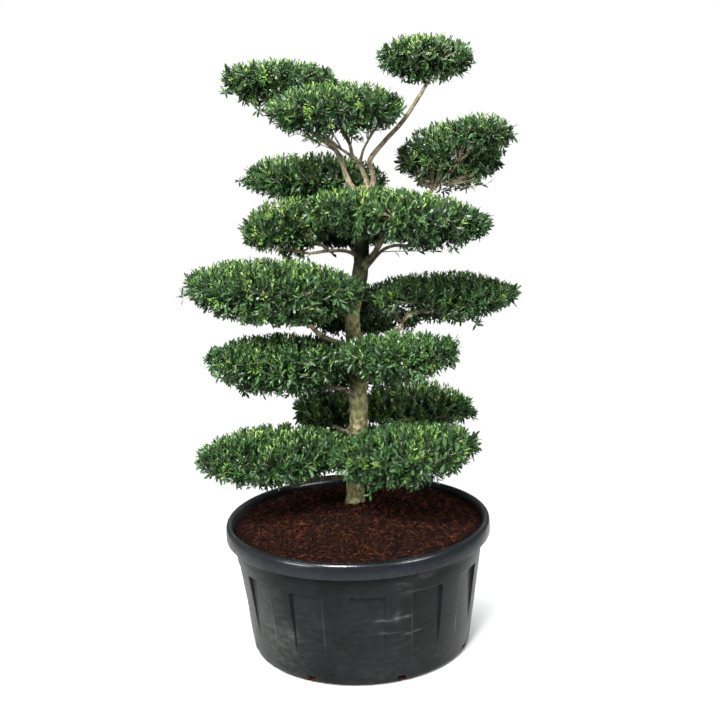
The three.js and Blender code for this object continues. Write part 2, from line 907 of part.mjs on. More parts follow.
// A straight three-sided twig.
function twigSolid(from, to, root, tip) {
  return solid(tube([from, to], 3, (share) => THREE.MathUtils.lerp(root, tip, share)));
}

// The stem from the bough's tip, spokes from the hub, and a fork on each.
function twigSolids(mass) {
  const bough = boughs.get(`bough_${mass.name}`);
  const tipRadius = bough.radius(1);
  const twigs = [twigSolid(bough.path[bough.path.length - 1], mass.hub, tipRadius, SPOKE_RADIUS)];
  const turn = 2 * Math.PI * mass.random();
  for (let i = 0; i < SPOKES; i += 1) {
    const angle = turn + ((i + SPOKE_SWAY * mass.random()) * 2 * Math.PI) / SPOKES;
    const end = pointIn(mass, angle, SPOKE_REACH, 0);
    const fork = mass.hub.clone().lerp(end, FORK_SHARE);
    const side = i % 2 ? FORK_ANGLE : -FORK_ANGLE;
    const forkEnd = pointIn(mass, angle + side, SPOKE_REACH, 0);
    const inSpace = (point) => ownSpace(mass, point, LEAF_MARGIN) && clearOfWood(point);
    if (inSpace(end)) twigs.push(twigSolid(mass.hub, end, SPOKE_RADIUS, SPOKE_RADIUS / 2));
    if (inSpace(end) && inSpace(forkEnd)) {
      twigs.push(twigSolid(fork, forkEnd, SPOKE_RADIUS * FORK_THINNING, SPOKE_RADIUS / 2));
    }
  }
  return twigs;
}

// A spray of leaves as one pointed blade of eight faces, from its root to its tip.
function sprayPoints(root, tip) {
  const along = tip.clone().sub(root);
  const length = along.length();
  const across = along.clone().cross(UP).normalize();
  const through = across.clone().cross(along).normalize();
  const waist = root.clone().lerp(tip, SPRAY_WAIST);
  const halfWidth = (SPRAY_WIDTH * length) / 2;
  const halfThickness = (SPRAY_THICKNESS * length) / 2;
  return {
    root,
    tip,
    waist: [
      waist.clone().addScaledVector(across, halfWidth),
      waist.clone().addScaledVector(through, halfThickness),
      waist.clone().addScaledVector(across, -halfWidth),
      waist.clone().addScaledVector(through, -halfThickness),
    ],
  };
}

function spraySolid({ root, tip, waist }) {
  const geometry = new THREE.BufferGeometry().setFromPoints([root, tip, ...waist]);
  geometry.setIndex(
    waist.flatMap((_, i) => {
      const here = 2 + i;
      const next = 2 + ((i + 1) % waist.length);
      return [0, next, here, 1, here, next];
    }),
  );
  return solid(geometry);
}

// Where the sprays' tips stand on the mass's surface: round the rim, over the top and underneath.
function sprayTips(mass) {
  const area = Math.PI * mass.half[0] * mass.half[1];
  const count = Math.round(area * SPRAYS_PER_AREA);
  const rim = 2 * Math.round((count * RIM_SHARE) / 2); // even, so that both ends get one
  const top = Math.round(count * TOP_SHARE);
  const under = count - rim - top;
  const turn = 2 * Math.PI * mass.random();
  const spread = (amount, side, widest) =>
    Array.from({ length: amount }, (_, i) => ({
      angle: turn + i * GOLDEN_ANGLE,
      r: widest * Math.sqrt((i + 0.5) / amount),
      side,
    }));
  const ring = Array.from({ length: rim }, (_, i) => ({
    angle: (2 * Math.PI * i) / rim,
    r: 1,
    side: 0,
  }));
  return [...ring, ...spread(top, 1, TOP_SPREAD), ...spread(under, -1, UNDER_SPREAD)];
}

// A spray leans outward and up from the rim and the top, and outward and down underneath.
function sprayOf(mass, { angle, r, side }) {
  const tip = pointIn(mass, angle, r, side);
  const outward = vector(mass.half[0] * Math.cos(angle), mass.half[1] * Math.sin(angle), 0).normalize();
  const lift = side === 0 ? RIM_LIFT : side * (MIDDLE_LIFT - LIFT_LOSS * r);
  const sway = azimuth(360 * mass.random()).multiplyScalar(SPRAY_SWAY);
  const lean = outward.addScaledVector(UP, lift).add(sway).normalize();
  const share = SPRAY_LENGTH_LEAST + SPRAY_LENGTH_SPREAD * mass.random();
  const length = (SPRAY_LENGTH + SPRAY_GROWTH * mass.half[0]) * share;
  const root = tip.clone().addScaledVector(lean, -length);
  for (let step = 0; step < ROOT_STEPS && measure(mass, root) > ROOT_DEPTH; step += 1) {
    root.lerp(mass.centre, ROOT_STEP);
  }
  return sprayPoints(root, tip);
}

function makeMass(mass) {
  const core = coreSolid(mass);
  const twigs = twigSolids(mass);
  const sprays = sprayTips(mass)
    .map((place) => sprayOf(mass, place))
    .filter(({ root, tip, waist }) =>
      [root, tip, ...waist].every((point) => ownSpace(mass, point, LEAF_MARGIN) && clearOfWood(point)),
    )
    .map(spraySolid);
  const nearby = [trunkClearance, ...boughClearances.values()];
  return largest(cutBy(joined([core, ...twigs, ...sprays]), nearby));
}

// The plant

function material(colour, roughness) {
  return new THREE.MeshStandardMaterial({ color: colour, roughness, metalness: 0, flatShading: true });
}

function piece(name, body, surface) {
  const mesh = new THREE.Mesh(geometryOf(body), surface);
  mesh.name = name;
  return mesh;
}

const plant = new THREE.Group();
plant.add(piece("tub", makeTub(), material(COLOURS.tub, 0.5)));
plant.add(piece("soil", makeSoil(), material(COLOURS.soil, 0.95)));
plant.add(piece("trunk", trunkSolid(0), material(COLOURS.bark, 0.85)));
for (const name of boughs.keys()) {
  plant.add(piece(name, makeBough(name), material(COLOURS.bark, 0.85)));
}
for (const mass of masses) {
  plant.add(piece(`mass_${mass.name}`, makeMass(mass), material(COLOURS.foliage, 0.6)));
}

export default plant;
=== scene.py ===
"""Looks of a Japanese holly grown as a cloud tree in a nursery tub.

The tub, the soil, the bark, the twigs and the leaves are surfaces worked out with numpy
and stand where the frame's solids stand. The limbs and the masses of foliage follow the
same named sizes and the same growing rule as the solids, carried on to single leaves.
The named sizes are in millimetres, and every mesh is in metres: the origin is the middle
of the tub's underside, +X to the right, +Y to the back, +Z up.
"""

import json
import math

import bpy
import numpy as np
from bpy.props import FloatProperty, FloatVectorProperty, IntProperty, PointerProperty
from mathutils import Matrix, Vector

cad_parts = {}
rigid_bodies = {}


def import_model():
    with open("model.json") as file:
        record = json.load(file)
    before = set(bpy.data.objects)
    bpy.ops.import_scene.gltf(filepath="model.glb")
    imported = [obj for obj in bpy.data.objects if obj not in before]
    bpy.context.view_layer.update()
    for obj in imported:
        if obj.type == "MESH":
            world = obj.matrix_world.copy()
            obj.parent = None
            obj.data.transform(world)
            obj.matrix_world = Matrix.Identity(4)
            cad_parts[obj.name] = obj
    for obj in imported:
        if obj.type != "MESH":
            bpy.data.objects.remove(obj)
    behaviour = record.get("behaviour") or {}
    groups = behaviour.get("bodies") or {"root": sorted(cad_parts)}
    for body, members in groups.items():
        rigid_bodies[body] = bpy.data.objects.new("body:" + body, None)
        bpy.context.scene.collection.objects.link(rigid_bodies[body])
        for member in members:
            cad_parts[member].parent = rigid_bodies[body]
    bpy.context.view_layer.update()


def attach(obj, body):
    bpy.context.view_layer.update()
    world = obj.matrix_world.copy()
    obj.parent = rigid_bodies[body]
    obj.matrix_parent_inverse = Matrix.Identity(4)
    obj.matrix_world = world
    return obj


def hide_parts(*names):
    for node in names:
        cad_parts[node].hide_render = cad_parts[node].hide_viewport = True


bl_info = {
    "name": "Cloud-pruned Japanese Holly",
    "version": (1, 0, 0),
    "blender": (4, 5, 0),
    "location": "View3D > Sidebar > Holly",
    "description": "Builds the looks of a potted cloud tree: tub, soil, bark, twigs and leaves",
    "category": "Add Mesh",
}

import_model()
BODY = "root"
MM = 0.001
TURN = 2 * math.pi
UP = np.array([0.0, 0.0, 1.0])
GOLDEN_ANGLE = math.pi * (3 - math.sqrt(5))

# Tub, in millimetres and in degrees from the front (-Y) towards +X
TUB_HEIGHT = 479
FOOT_RADIUS = 391
FOOT_CORNER = 20
WALL_LOW_RADIUS = 411
WALL_TOP_RADIUS = 467
WALL_THICKNESS = 7
FLOOR_THICKNESS = 9
LIP_HEIGHT = 55
LIP_RADIUS = 492
LIP_SKIRT = 6
LIP_THROAT_RADIUS = 467
LIP_HOLLOW_TOP = 26
PANEL_COUNT = 13
PANEL_PHASE = 3.4
PANEL_HALF_ANGLE = 6.8
PANEL_BEVEL_ANGLE = 1.3
PANEL_TOP = 338
PANEL_TOP_BEVEL = 9
PANEL_FOOT = 105
PANEL_DEPTH = 15
DRAIN_COUNT = 8
DRAIN_PHASE = 19.4
DRAIN_WIDTH = 32
DRAIN_HEIGHT = 20
DRAIN_SILL = 7
DRAIN_DEPTH = 24
DRAIN_HALF_ANGLE = math.degrees(DRAIN_WIDTH / 2 / WALL_LOW_RADIUS)
WALL_RINGS = ((392, 1.2, 4), (214, 0.7, 3))  # round the wall: height, depth, half height

# Soil
SOIL_EDGE = 456
SOIL_TOP = 494
PLATEAU_RADIUS = 170
SOIL_NOISES = ((5, 60, 1), (3.4, 21, 2), (2.6, 8, 3))  # height, size of a cell, seed


def named_rows(columns, *rows):
    """The rows of a table as dicts, each value under the name of its column."""
    return [dict(zip(columns.split(), row)) for row in rows]


# Trunk: height, place of its axis and radius
TRUNK_STATIONS = named_rows(
    "z x y radius",
    (SOIL_TOP, -9, 100, 34),
    (680, 1, 90, 33.5),
    (790, 14, 85, 34),
    (960, 19, 75, 33.5),
    (1055, 14, 70, 30),
    (1150, 7, 65, 28.5),
    (1257, 8, 60, 29),
    (1313, 25, 55, 27.5),
    (1382, 41, 50, 29.5),
    (1500, 51, 45, 25.5),
    (1640, 66, 40, 25),
    (1690, 72, 40, 27),
)
FLARE = 0.22
FLARE_HEIGHT = 45
FLARE_LOBES = 5

# Boughs: the parent limb; where one leaves it, the height on the trunk or the share of a bough's
# length; the radius at both ends; and the places it bends through
BOUGHS = named_rows(
    "name parent start root tip bends",
    ("top_left", "trunk", 1650, 11, 5.5, [(18, 48, 1692), (-13, 50, 1776), (-30, 55, 1815),
        (-70, 85, 1850), (-137, 125, 1905), (-184, 148, 2000)]),
    ("top_right", "trunk", 1640, 10, 6, [(97, 40, 1700), (94, 40, 1746), (88, 32, 1777),
        (143, 22, 1844), (206, 20, 1907), (258, 10, 1978), (300, 0, 2040)]),
    ("top_middle", "trunk", 1645, 10.5, 5, [(74, 36, 1700), (53, 35, 1761), (27, 20, 1797),
        (22, -5, 1822), (8, -26, 1868)]),
    ("top_middle_right", "top_middle", 0.52, 5, 3.2, [(56, 20, 1786), (66, -4, 1815),
        (84, -22, 1846), (118, -50, 1896)]),
    ("top_middle_left", "top_middle", 0.6, 5.5, 3.5, [(-5, 2, 1815), (-33, -10, 1834),
        (-90, -34, 1880)]),
    ("right_main", "trunk", 1585, 10, 6, [(150, 85, 1606), (240, 120, 1622), (305, 138, 1655),
        (345, 158, 1706)]),
    ("right_upper", "right_main", 0.7, 6, 4, [(318, 132, 1668), (350, 122, 1700),
        (372, 108, 1716), (408, 70, 1757), (437, 42, 1791), (456, 30, 1812)]),
    ("second_back", "trunk", 1570, 10, 6, [(30, 110, 1606), (-20, 165, 1626), (-66, 212, 1664)]),
    ("third_left", "trunk", 1432, 7, 4.5, [(4, 22, 1458), (-22, 20, 1464), (-75, 20, 1465),
        (-146, 24, 1459), (-222, 40, 1482)]),
    ("third_front", "trunk", 1400, 11.5, 6.5, [(84, 0, 1444), (106, -34, 1474), (140, -82, 1530)]),
    ("third_right", "trunk", 1365, 7.5, 3.6, [(84, 14, 1424), (122, -16, 1463), (160, -50, 1480),
        (245, -118, 1482), (350, -156, 1504)]),
    ("third_back", "trunk", 1405, 9, 6, [(24, 110, 1446), (-4, 182, 1487)]),
    ("fourth_left", "trunk", 1105, 11, 6, [(-34, -8, 1128), (-84, -46, 1156), (-122, -64, 1186),
        (-158, -80, 1226), (-240, -104, 1262)]),
    ("fourth_right", "trunk", 1095, 10, 6, [(100, 92, 1112), (168, 104, 1144), (194, 110, 1188),
        (221, 115, 1209), (263, 120, 1221), (312, 130, 1216)]),
    ("fourth_back", "trunk", 1090, 8, 5.5, [(20, 115, 1106), (44, 174, 1142)]),
    ("fifth_left", "trunk", 915, 11, 6.5, [(-45, 20, 957), (-95, -8, 974), (-150, -32, 1018)]),
    ("fifth_front", "trunk", 975, 10, 6, [(70, -30, 1000), (120, -120, 1020), (172, -196, 1062)]),
    ("fifth_back", "trunk", 915, 10, 6, [(0, 140, 936), (-20, 210, 985)]),
    ("sixth_left", "trunk", 760, 9, 6, [(-50, 118, 776), (-96, 188, 786)]),
    ("sixth_right", "trunk", 730, 10, 6, [(90, 125, 752), (166, 194, 780)]),
    ("seventh_left", "trunk", 590, 11, 5.5, [(-80, 40, 612), (-170, -10, 622), (-267, -50, 634),
        (-352, -76, 674)]),
    ("seventh_front", "trunk", 580, 11, 6.5, [(45, -10, 604), (100, -95, 632), (132, -150, 690)]),
    ("seventh_back", "trunk", 560, 10, 6, [(8, 180, 576), (24, 254, 612)]),
)

# Masses of foliage: the middle of the widest plane, half width and half depth, rise and drop
# from that plane, its slope along X, how full and how open the underside is, the share by which
# more young leaves grow on it, and its share of painted light: more leaves in brighter tints where it
# lies in shade
MASSES = named_rows(
    "name middle half rise drop slope fullness open_under young light",
    ("top_right", (288, 0, 2122), (175, 150), 70, 91, -0.024, 2.6, 0.2, 0.1, 0),
    ("top_left", (-226, 160, 2084), (217, 190), 56, 108, -0.042, 3, 0.3, 0.3, 0),
    ("top_middle", (-28, -80, 1957), (244, 190), 81, 122, 0, 2.8, 0.62, 0.22, 0),
    ("right_upper", (480, 20, 1862), (121, 120), 59, 69, -0.05, 2.2, 0.15, 0, 0),
    ("right_main", (385, 180, 1778), (202, 170), 134, 118, -0.01, 2.5, 0.15, 0, 0),
    ("second_back", (-119, 260, 1720), (284, 180), 95, 92, -0.05, 3.2, 0.15, 0, 0.1),
    ("third_left", (-223, 60, 1542), (167, 160), 115, 96, 0.05, 2.2, 0.15, 0.25, 0),
    ("third_front", (171, -170, 1594), (330, 200), 84, 116, -0.126, 2.8, 0.15, 0, 0),
    ("third_back", (-20, 260, 1520), (250, 170), 60, 60, 0, 2.2, 0.15, 0, 0),
    ("fourth_left", (-261, -120, 1364), (324, 240), 86, 135, -0.066, 4.5, 0.15, 0, 0),
    ("fourth_right", (320, 180, 1269), (329, 220), 86, 100, 0.01, 2.8, 0.15, 0, 0.1),
    ("fourth_back", (55, 235, 1215), (275, 150), 100, 100, 0, 3, 0.15, 0, 0),
    ("fifth_left", (-246, -60, 1101), (290, 240), 71, 141, -0.02, 2.8, 0.15, 0, 0),
    ("fifth_front", (162, -240, 1141), (217, 170), 54, 111, 0.008, 3, 0.15, 0, 0.12),
    ("fifth_back", (-20, 270, 1025), (270, 180), 70, 128, 0, 3, 0.15, 0, 0),
    ("sixth_left", (-109, 280, 808), (138, 160), 118, 70, -0.036, 2.2, 0.15, 0, 0.75),
    ("sixth_right", (236, 270, 808), (252, 190), 116, 64, -0.035, 2.2, 0.15, 0, 0.4),
    ("seventh_left", (-299, -60, 745), (296, 250), 87, 105, 0.036, 3.2, 0.15, 0, 0),
    ("seventh_front", (168, -200, 791), (278, 220), 64, 135, 0.068, 3.2, 0.15, 0, 0),
    ("seventh_back", (30, 320, 655), (290, 180), 70, 72, 0, 2.2, 0.15, 0, 0),
)

# Bays in the masses where the limbs show: the middle, the half sizes and the share of leaves left
BAYS = named_rows(
    "middle half left",
    ((30, -110, 1858), (105, 110, 58), 0.22),
    ((-130, -100, 1866), (62, 100, 28), 0.45),
    ((412, -20, 1800), (66, 100, 46), 0.14),
    ((322, 50, 1690), (66, 120, 52), 0.25),
    ((440, 60, 1712), (80, 110, 34), 0.45),
    ((246, -10, 1208), (94, 190, 68), 0.04),
    ((108, -150, 1492), (96, 170, 46), 0.08),
    ((-300, 20, 1462), (76, 120, 40), 0.45),
    ((-480, -200, 1240), (100, 110, 30), 0.5),
    ((-88, -170, 1318), (46, 70, 26), 0.4),
)

# Thin twigs along the undersides: the mass, the start, the bend and the tip
LOW_TWIGS = named_rows(
    "mass start bend tip",
    ("right_main", (330, 140, 1686), (411, 84, 1668), (512, 80, 1681)),
    ("fourth_left", (-158, -84, 1230), (-250, -128, 1246), (-362, -140, 1241)),
    ("fourth_right", (300, 128, 1217), (342, 136, 1206), (400, 142, 1186)),
    ("third_left", (-120, 22, 1462), (-160, -10, 1440), (-212, -10, 1436)),
    ("third_front", (110, -30, 1458), (190, -90, 1466), (300, -150, 1462)),
    ("third_front", (84, 10, 1440), (96, -20, 1500), (150, -60, 1530)),
    ("fifth_left", (-90, -10, 975), (-200, -60, 968), (-330, -90, 1000)),
    ("top_middle", (-30, 55, 1815), (-110, 10, 1850), (-190, -30, 1893)),
)

# Fans of bare twigs that show in the bays: the mass, the base, the middle of the tips, half spread
FANS = named_rows(
    "mass base toward spread",
    ("right_upper", (401, 48, 1760), (428, -30, 1874), (66, 40, 30)),
    ("right_upper", (430, 46, 1786), (494, -20, 1850), (50, 40, 26)),
    ("right_main", (317, 132, 1666), (269, 40, 1752), (43, 40, 28)),
    ("right_main", (329, 132, 1672), (351, 40, 1771), (43, 40, 28)),
    ("right_main", (350, 110, 1682), (444, 50, 1711), (57, 40, 21)),
    ("top_middle", (-9, -8, 1818), (-94, -80, 1897), (54, 40, 26)),
    ("top_middle", (22, -4, 1826), (16, -100, 1919), (47, 40, 26)),
    ("top_middle", (84, -22, 1846), (112, -80, 1924), (34, 40, 34)),
    ("third_front", (122, -44, 1500), (181, -140, 1560), (55, 40, 20)),
    ("third_front", (209, -92, 1482), (282, -150, 1526), (48, 40, 16)),
    ("third_left", (-65, 20, 1465), (-150, -40, 1520), (49, 40, 18)),
    ("third_left", (-150, 24, 1460), (-258, -20, 1495), (50, 40, 18)),
    ("fourth_right", (251, 119, 1218), (325, 20, 1256), (65, 40, 18)),
    ("fourth_right", (190, 109, 1184), (180, 20, 1249), (44, 40, 18)),
    ("fourth_left", (-150, -78, 1218), (-242, -160, 1253), (69, 40, 14)),
    ("fifth_left", (-49, 18, 958), (-153, -80, 1000), (71, 40, 18)),
)
FAN_TWIGS = 9

# How every mass is grown
SEED = 4101
OUTLINE_WAVE = 0.06
CLIPPED_DEPTH = 0.975
HUB_HEIGHT = -0.3
SPOKES = 3
SPOKE_REACH = 0.9
FORK_ANGLE = 0.75
FORK_SHARE = 0.55
LEAF_MARGIN = 0.02
WOOD_CLEARANCE = 4

# How the wood is carried on to finer twigs, with radii at the root and at the tip
STEM_OVERLAP = 4
STEM_RADIUS = 4.6
SPOKE_RADII = (4.2, 1.6)
SPOKE_SAG = 0.12
BRANCHES = ((1, 0.45, 52, 1.9), (-1, 0.55, 58, 1.7))  # side, height of tips, spacing, root radius
BRANCH_TIP_RADIUS = 0.9
SHOOTS = ((1, 1, 0.75, 0.6), (-1, 1.08, 0.6, 0.1))  # side, share of the spacing, lean out, lean up
SHOOT_LENGTHS = (50, 86)
SHOOT_RADII = (0.95, 0.45)
FAN_RADII = (2.3, 0.8)
LOW_TWIG_RADII = (2.4, 0.9)

# How the leaves stand
LEAF_LEANS = (1.15, 0.4)  # angle to the shoot at its foot and at its tip
LEAF_LIFT, FACE_LIFT = 0.12, 0.45  # pull upward on a leaf and on its face
LEAF_FOLD, LEAF_BEND = 0.34, 0.12
LEAF_SPREAD = (0.76, 1.14)  # shares of the full length

# What tints they take, with painted light and shade in them: the steps between deep, middle and
# bright for a spray, then the shares of a shoot below or above which a tint is sure, and the heights
# where young leaves get common
TONE_STEPS = (0.36, 0.8)
DEEP_AND_SHADED_BELOW, BRIGHT_ABOVE, YOUNG_ABOVE = 0.3, 0.35, 0.62
UPPER_MASSES = (1000, 1700)

# Seeds of the soil's strands and crumbs and of the bark
STRAND_SEED, CRUMB_SEED, TRUNK_SEED, BOUGH_SEED = 21, 22, 31, 60


# Small helpers


def unit(vectors):
    """Each vector divided by its own length."""
    return vectors / np.maximum(np.linalg.norm(vectors, axis=-1, keepdims=True), 1e-12)


def lerp(a, b, share):
    """a + (b - a) * share."""
    return a + (b - a) * share


def smoothstep(low, high, value):
    """0 below low, 1 above high and 3 t^2 - 2 t^3 between them."""
    t = np.clip((value - low) / (high - low), 0, 1)
    return t * t * (3 - 2 * t)


def seeded_random(seed):
    """The source's repeatable numbers from 0 to 1: a 32-bit counter stirred by shifts and products."""
    mask = 0xFFFFFFFF
    state = seed & mask

    def draw():
        nonlocal state
        state = (state + 0x6D2B79F5) & mask
        mixed = ((state ^ (state >> 15)) * (state | 1)) & mask
        mixed ^= (mixed + ((mixed ^ (mixed >> 7)) * (mixed | 61) & mask)) & mask
        return ((mixed ^ (mixed >> 14)) & mask) / 4294967296

    return draw


def smooth_noise(around, along, cells, seed):
    """Value noise from -1 to 1 on a lattice of cells columns that closes round the angle.

    around is an angle in radians and along a distance counted in cells. The lattice holds
    random numbers, blended between their four neighbours by 3 t^2 - 2 t^3.
    """
    rng = np.random.default_rng(seed)
    column = np.mod(around / TURN, 1) * cells
    row = along - np.floor(np.min(along))
    lattice = rng.uniform(-1, 1, (int(np.max(row)) + 2, cells))
    i = np.floor(column).astype(int) % cells
    j = np.floor(row).astype(int)
    s = smoothstep(0, 1, column - np.floor(column))
    t = smoothstep(0, 1, row - np.floor(row))
    near = lerp(lattice[j, i], lattice[j, (i + 1) % cells], s)
    far = lerp(lattice[j + 1, i], lattice[j + 1, (i + 1) % cells], s)
    return lerp(near, far, t)


def places_on(path, marks, values):
    """The places on a path where its marks, one for each of its points, reach the values."""
    return np.stack([np.interp(values, marks, path[:, k]) for k in range(3)], axis=-1)


def smooth_path(points, step):
    """The source's curve through points, a centripetal Catmull-Rom spline, at even steps.

    On the span from b to c with neighbours a and d, the knots lie the square root of each
    distance apart, and the span is the cubic with the tangents those knots give.
    """
    p = np.asarray(points, float)
    knots = np.vstack([2 * p[0] - p[1], p, 2 * p[-1] - p[-2]])
    t = np.linspace(0, 1, 33)[:-1, None]
    spans = []
    for a, b, c, d in zip(knots, knots[1:], knots[2:], knots[3:]):
        before, here, after = (math.sqrt(np.linalg.norm(v)) for v in (b - a, c - b, d - c))
        start = ((b - a) / before - (c - a) / (before + here) + (c - b) / here) * here
        end = ((c - b) / here - (d - b) / (here + after) + (d - c) / after) * here
        squared, cubed = 3 * (c - b) - 2 * start - end, 2 * (b - c) + start + end
        spans.append(b + start * t + squared * t**2 + cubed * t**3)
    fine = np.vstack([*spans, p[-1:]])
    reach = arc_lengths(fine)
    count = max(int(round(reach[-1] / step)), 3)
    even = np.linspace(0, reach[-1], count + 1)
    return places_on(fine, reach, even)


def arc_lengths(path):
    """How far along the path each of its points is."""
    return np.concatenate([[0], np.cumsum(np.linalg.norm(np.diff(path, axis=0), axis=1))])


# Meshes from arrays


class Surface:
    """Points, and faces as one row of corner numbers with the size of each face beside it."""

    def __init__(self, points, corners, sizes, tint=None, uv=None, grain=None, mark=None):
        self.points = np.asarray(points, float).reshape(-1, 3)
        self.corners = np.asarray(corners, int).ravel()
        self.sizes = np.asarray(sizes, int).ravel()
        self.tint = np.zeros(len(self.sizes), int) if tint is None else np.asarray(tint, int).ravel()
        self.uv = uv
        self.grain = grain
        self.mark = mark


def joined(surfaces):
    """Several surfaces as one, each one's corner numbers moved on past those before it."""
    shift = np.cumsum([0] + [len(s.points) for s in surfaces[:-1]])

    def together(values):
        return None if any(v is None for v in values) else np.concatenate(values)

    return Surface(
        np.concatenate([s.points for s in surfaces]),
        np.concatenate([s.corners + k for s, k in zip(surfaces, shift)]),
        np.concatenate([s.sizes for s in surfaces]),
        np.concatenate([s.tint for s in surfaces]),
        together([s.uv for s in surfaces]),
        together([s.grain for s in surfaces]),
        together([s.mark for s in surfaces]),
    )


def put(name, surface, materials, smooth=True):
    """Puts a surface into the scene as one mesh object at the origin, its arrays set whole."""
    mesh = bpy.data.meshes.new(name)
    mesh.vertices.add(len(surface.points))
    mesh.loops.add(len(surface.corners))
    mesh.polygons.add(len(surface.sizes))
    mesh.vertices.foreach_set("co", (surface.points * MM).astype(np.float32).ravel())
    mesh.loops.foreach_set("vertex_index", surface.corners.astype(np.int32))
    starts = np.concatenate([[0], np.cumsum(surface.sizes)[:-1]])
    mesh.polygons.foreach_set("loop_start", starts.astype(np.int32))
    for material in materials:
        mesh.materials.append(material)
    mesh.polygons.foreach_set("material_index", surface.tint.astype(np.int32))
    mesh.polygons.foreach_set("use_smooth", np.full(len(surface.sizes), smooth))
    if surface.uv is not None:
        layer = mesh.uv_layers.new(name="along")
        layer.uv.foreach_set("vector", surface.uv[surface.corners].astype(np.float32).ravel())
    for own, kind, key in (("grain", "FLOAT_VECTOR", "vector"), ("mark", "FLOAT", "value")):
        values = getattr(surface, own)
        if values is not None:
            attribute = mesh.attributes.new(own, kind, "POINT")
            attribute.data.foreach_set(key, values.astype(np.float32).ravel())
    mesh.update(calc_edges=True)
    mesh.validate()
    piece = bpy.data.objects.new(name, mesh)
    bpy.context.scene.collection.objects.link(piece)
    return piece


def grid_faces(rows, columns):
    """Corner numbers of the four-sided faces of a grid whose last column meets its first."""
    row, column = np.meshgrid(np.arange(rows - 1), np.arange(columns), indexing="ij")
    following = (column + 1) % columns
    low, high = row * columns, (row + 1) * columns
    return np.stack([low + column, low + following, high + following, high + column], axis=-1)


def closed_faces(rows, columns, foot=True):
    """Corner numbers and face sizes of such a grid with one more face inside its last row and,
    with a foot, one inside its first."""
    rings = [np.arange(columns)[::-1]] if foot else []
    rings.append((rows - 1) * columns + np.arange(columns))
    corners = np.concatenate([grid_faces(rows, columns).ravel(), *rings])
    return corners, np.concatenate([np.full((rows - 1) * columns, 4), [columns] * len(rings)])


def tubes(paths, radii, sides, tint=None):
    """Closed tubes along n paths of k points, with radii of shape (n, k) or (n, k, sides).

    A corner is path + r (cos(t) across + sin(t) beside). across is the direction that the
    path's tangents have least of, made square to each tangent, and beside their product.
    """
    n, k, _ = paths.shape
    tangents = unit(np.gradient(paths, axis=1))
    least = np.linalg.svd(tangents, full_matrices=True)[2][:, -1][:, None]
    across = unit(least - np.sum(least * tangents, axis=-1, keepdims=True) * tangents)
    beside = np.cross(tangents, across)
    angle = TURN * np.arange(sides) / sides
    if radii.ndim == 2:
        radii = radii[:, :, None]
    spread = across[:, :, None] * np.cos(angle)[:, None] + beside[:, :, None] * np.sin(angle)[:, None]
    points = paths[:, :, None] + radii[..., None] * spread
    corners, sizes = closed_faces(k, sides)
    corners = corners + (np.arange(n) * k * sides)[:, None]
    face_tint = None if tint is None else np.repeat(tint, len(sizes))
    return Surface(points, corners, np.tile(sizes, n), face_tint)


def quadratic(a, m, b, t):
    """(1-t)^2 a + 2 t (1-t) m + t^2 b."""
    return (1 - t) ** 2 * a + 2 * t * (1 - t) * m + t**2 * b


def curved(starts, middles, ends, count):
    """n quadratic curves, each at count values of t."""
    t = np.linspace(0, 1, count)[None, :, None]
    return quadratic(starts[:, None], middles[:, None], ends[:, None], t)


# Trunk and boughs

TRUNK_PATH = smooth_path([(s["x"], s["y"], s["z"]) for s in TRUNK_STATIONS], 6)


def trunk_radius(z):
    """In a straight line between the stations' radii."""
    return np.interp(z, [s["z"] for s in TRUNK_STATIONS], [s["radius"] for s in TRUNK_STATIONS])


def trunk_axis(z):
    """The place of the trunk's axis at a height."""
    return places_on(TRUNK_PATH, TRUNK_PATH[:, 2], z)


def grow_boughs():
    """Each bough's path from its start on the trunk or another bough, with its radii."""
    grown = {}
    for spec in BOUGHS:
        if spec["parent"] == "trunk":
            start = trunk_axis(spec["start"])
        else:
            parent = grown[spec["parent"]]["path"]
            reach = arc_lengths(parent)
            start = places_on(parent, reach, spec["start"] * reach[-1])
        path = smooth_path([start, *spec["bends"]], 5)
        radius = np.linspace(spec["root"], spec["tip"], len(path))
        grown[spec["name"]] = dict(spec, path=path, radius=radius)
    return grown


LIMBS = grow_boughs()
WOOD_POINTS = np.vstack([TRUNK_PATH[::3], *[limb["path"][::3] for limb in LIMBS.values()]])
WOOD_RADII = np.concatenate(
    [trunk_radius(TRUNK_PATH[::3, 2]), *[limb["radius"][::3] for limb in LIMBS.values()]]
)


# Masses of foliage


def outline(mass, angle):
    """1 - wave * sin^2(angle) * (1 + sin(3 angle + phase)): full at both ends, uneven between."""
    return 1 - OUTLINE_WAVE * np.sin(angle) ** 2 * (1 + np.sin(3 * angle + mass["phase"]))


def dome_top(r):
    """(1 - r^2.6)^0.75."""
    return np.maximum(1 - np.abs(r) ** 2.6, 0) ** 0.75


def dome_under(r, fullness):
    """(1 - r^fullness)^0.8."""
    return np.maximum(1 - np.abs(r) ** fullness, 0) ** 0.8


def point_in(mass, angle, r, height):
    """A place in a mass: angle round it, share r of the way to its outline, and a height.

    The height is a share of the dome over that place, from -1 underneath to 1 on top.
    """
    angle, r, height = np.broadcast_arrays(*(np.asarray(v, float) for v in (angle, r, height)))
    reach = r * outline(mass, angle)
    dx = mass["half"][0] * reach * np.cos(angle)
    dy = mass["half"][1] * reach * np.sin(angle)
    under = mass["drop"] * dome_under(r, mass["fullness"])
    dome = np.where(height > 0, mass["rise"] * dome_top(r), under)
    return mass["middle"] + np.stack([dx, dy, dome * height + mass["slope"] * dx], axis=-1)


def measure(mass, points):
    """How far out points are: 0 in the middle of a mass and about 1 on its surface."""
    offset = points - mass["middle"]
    u, v = offset[..., 0] / mass["half"][0], offset[..., 1] / mass["half"][1]
    w = offset[..., 2] - mass["slope"] * offset[..., 0]
    w = w / np.where(w > 0, mass["rise"], mass["drop"])
    return np.hypot(np.hypot(u, v) / outline(mass, np.arctan2(v, u)), w)


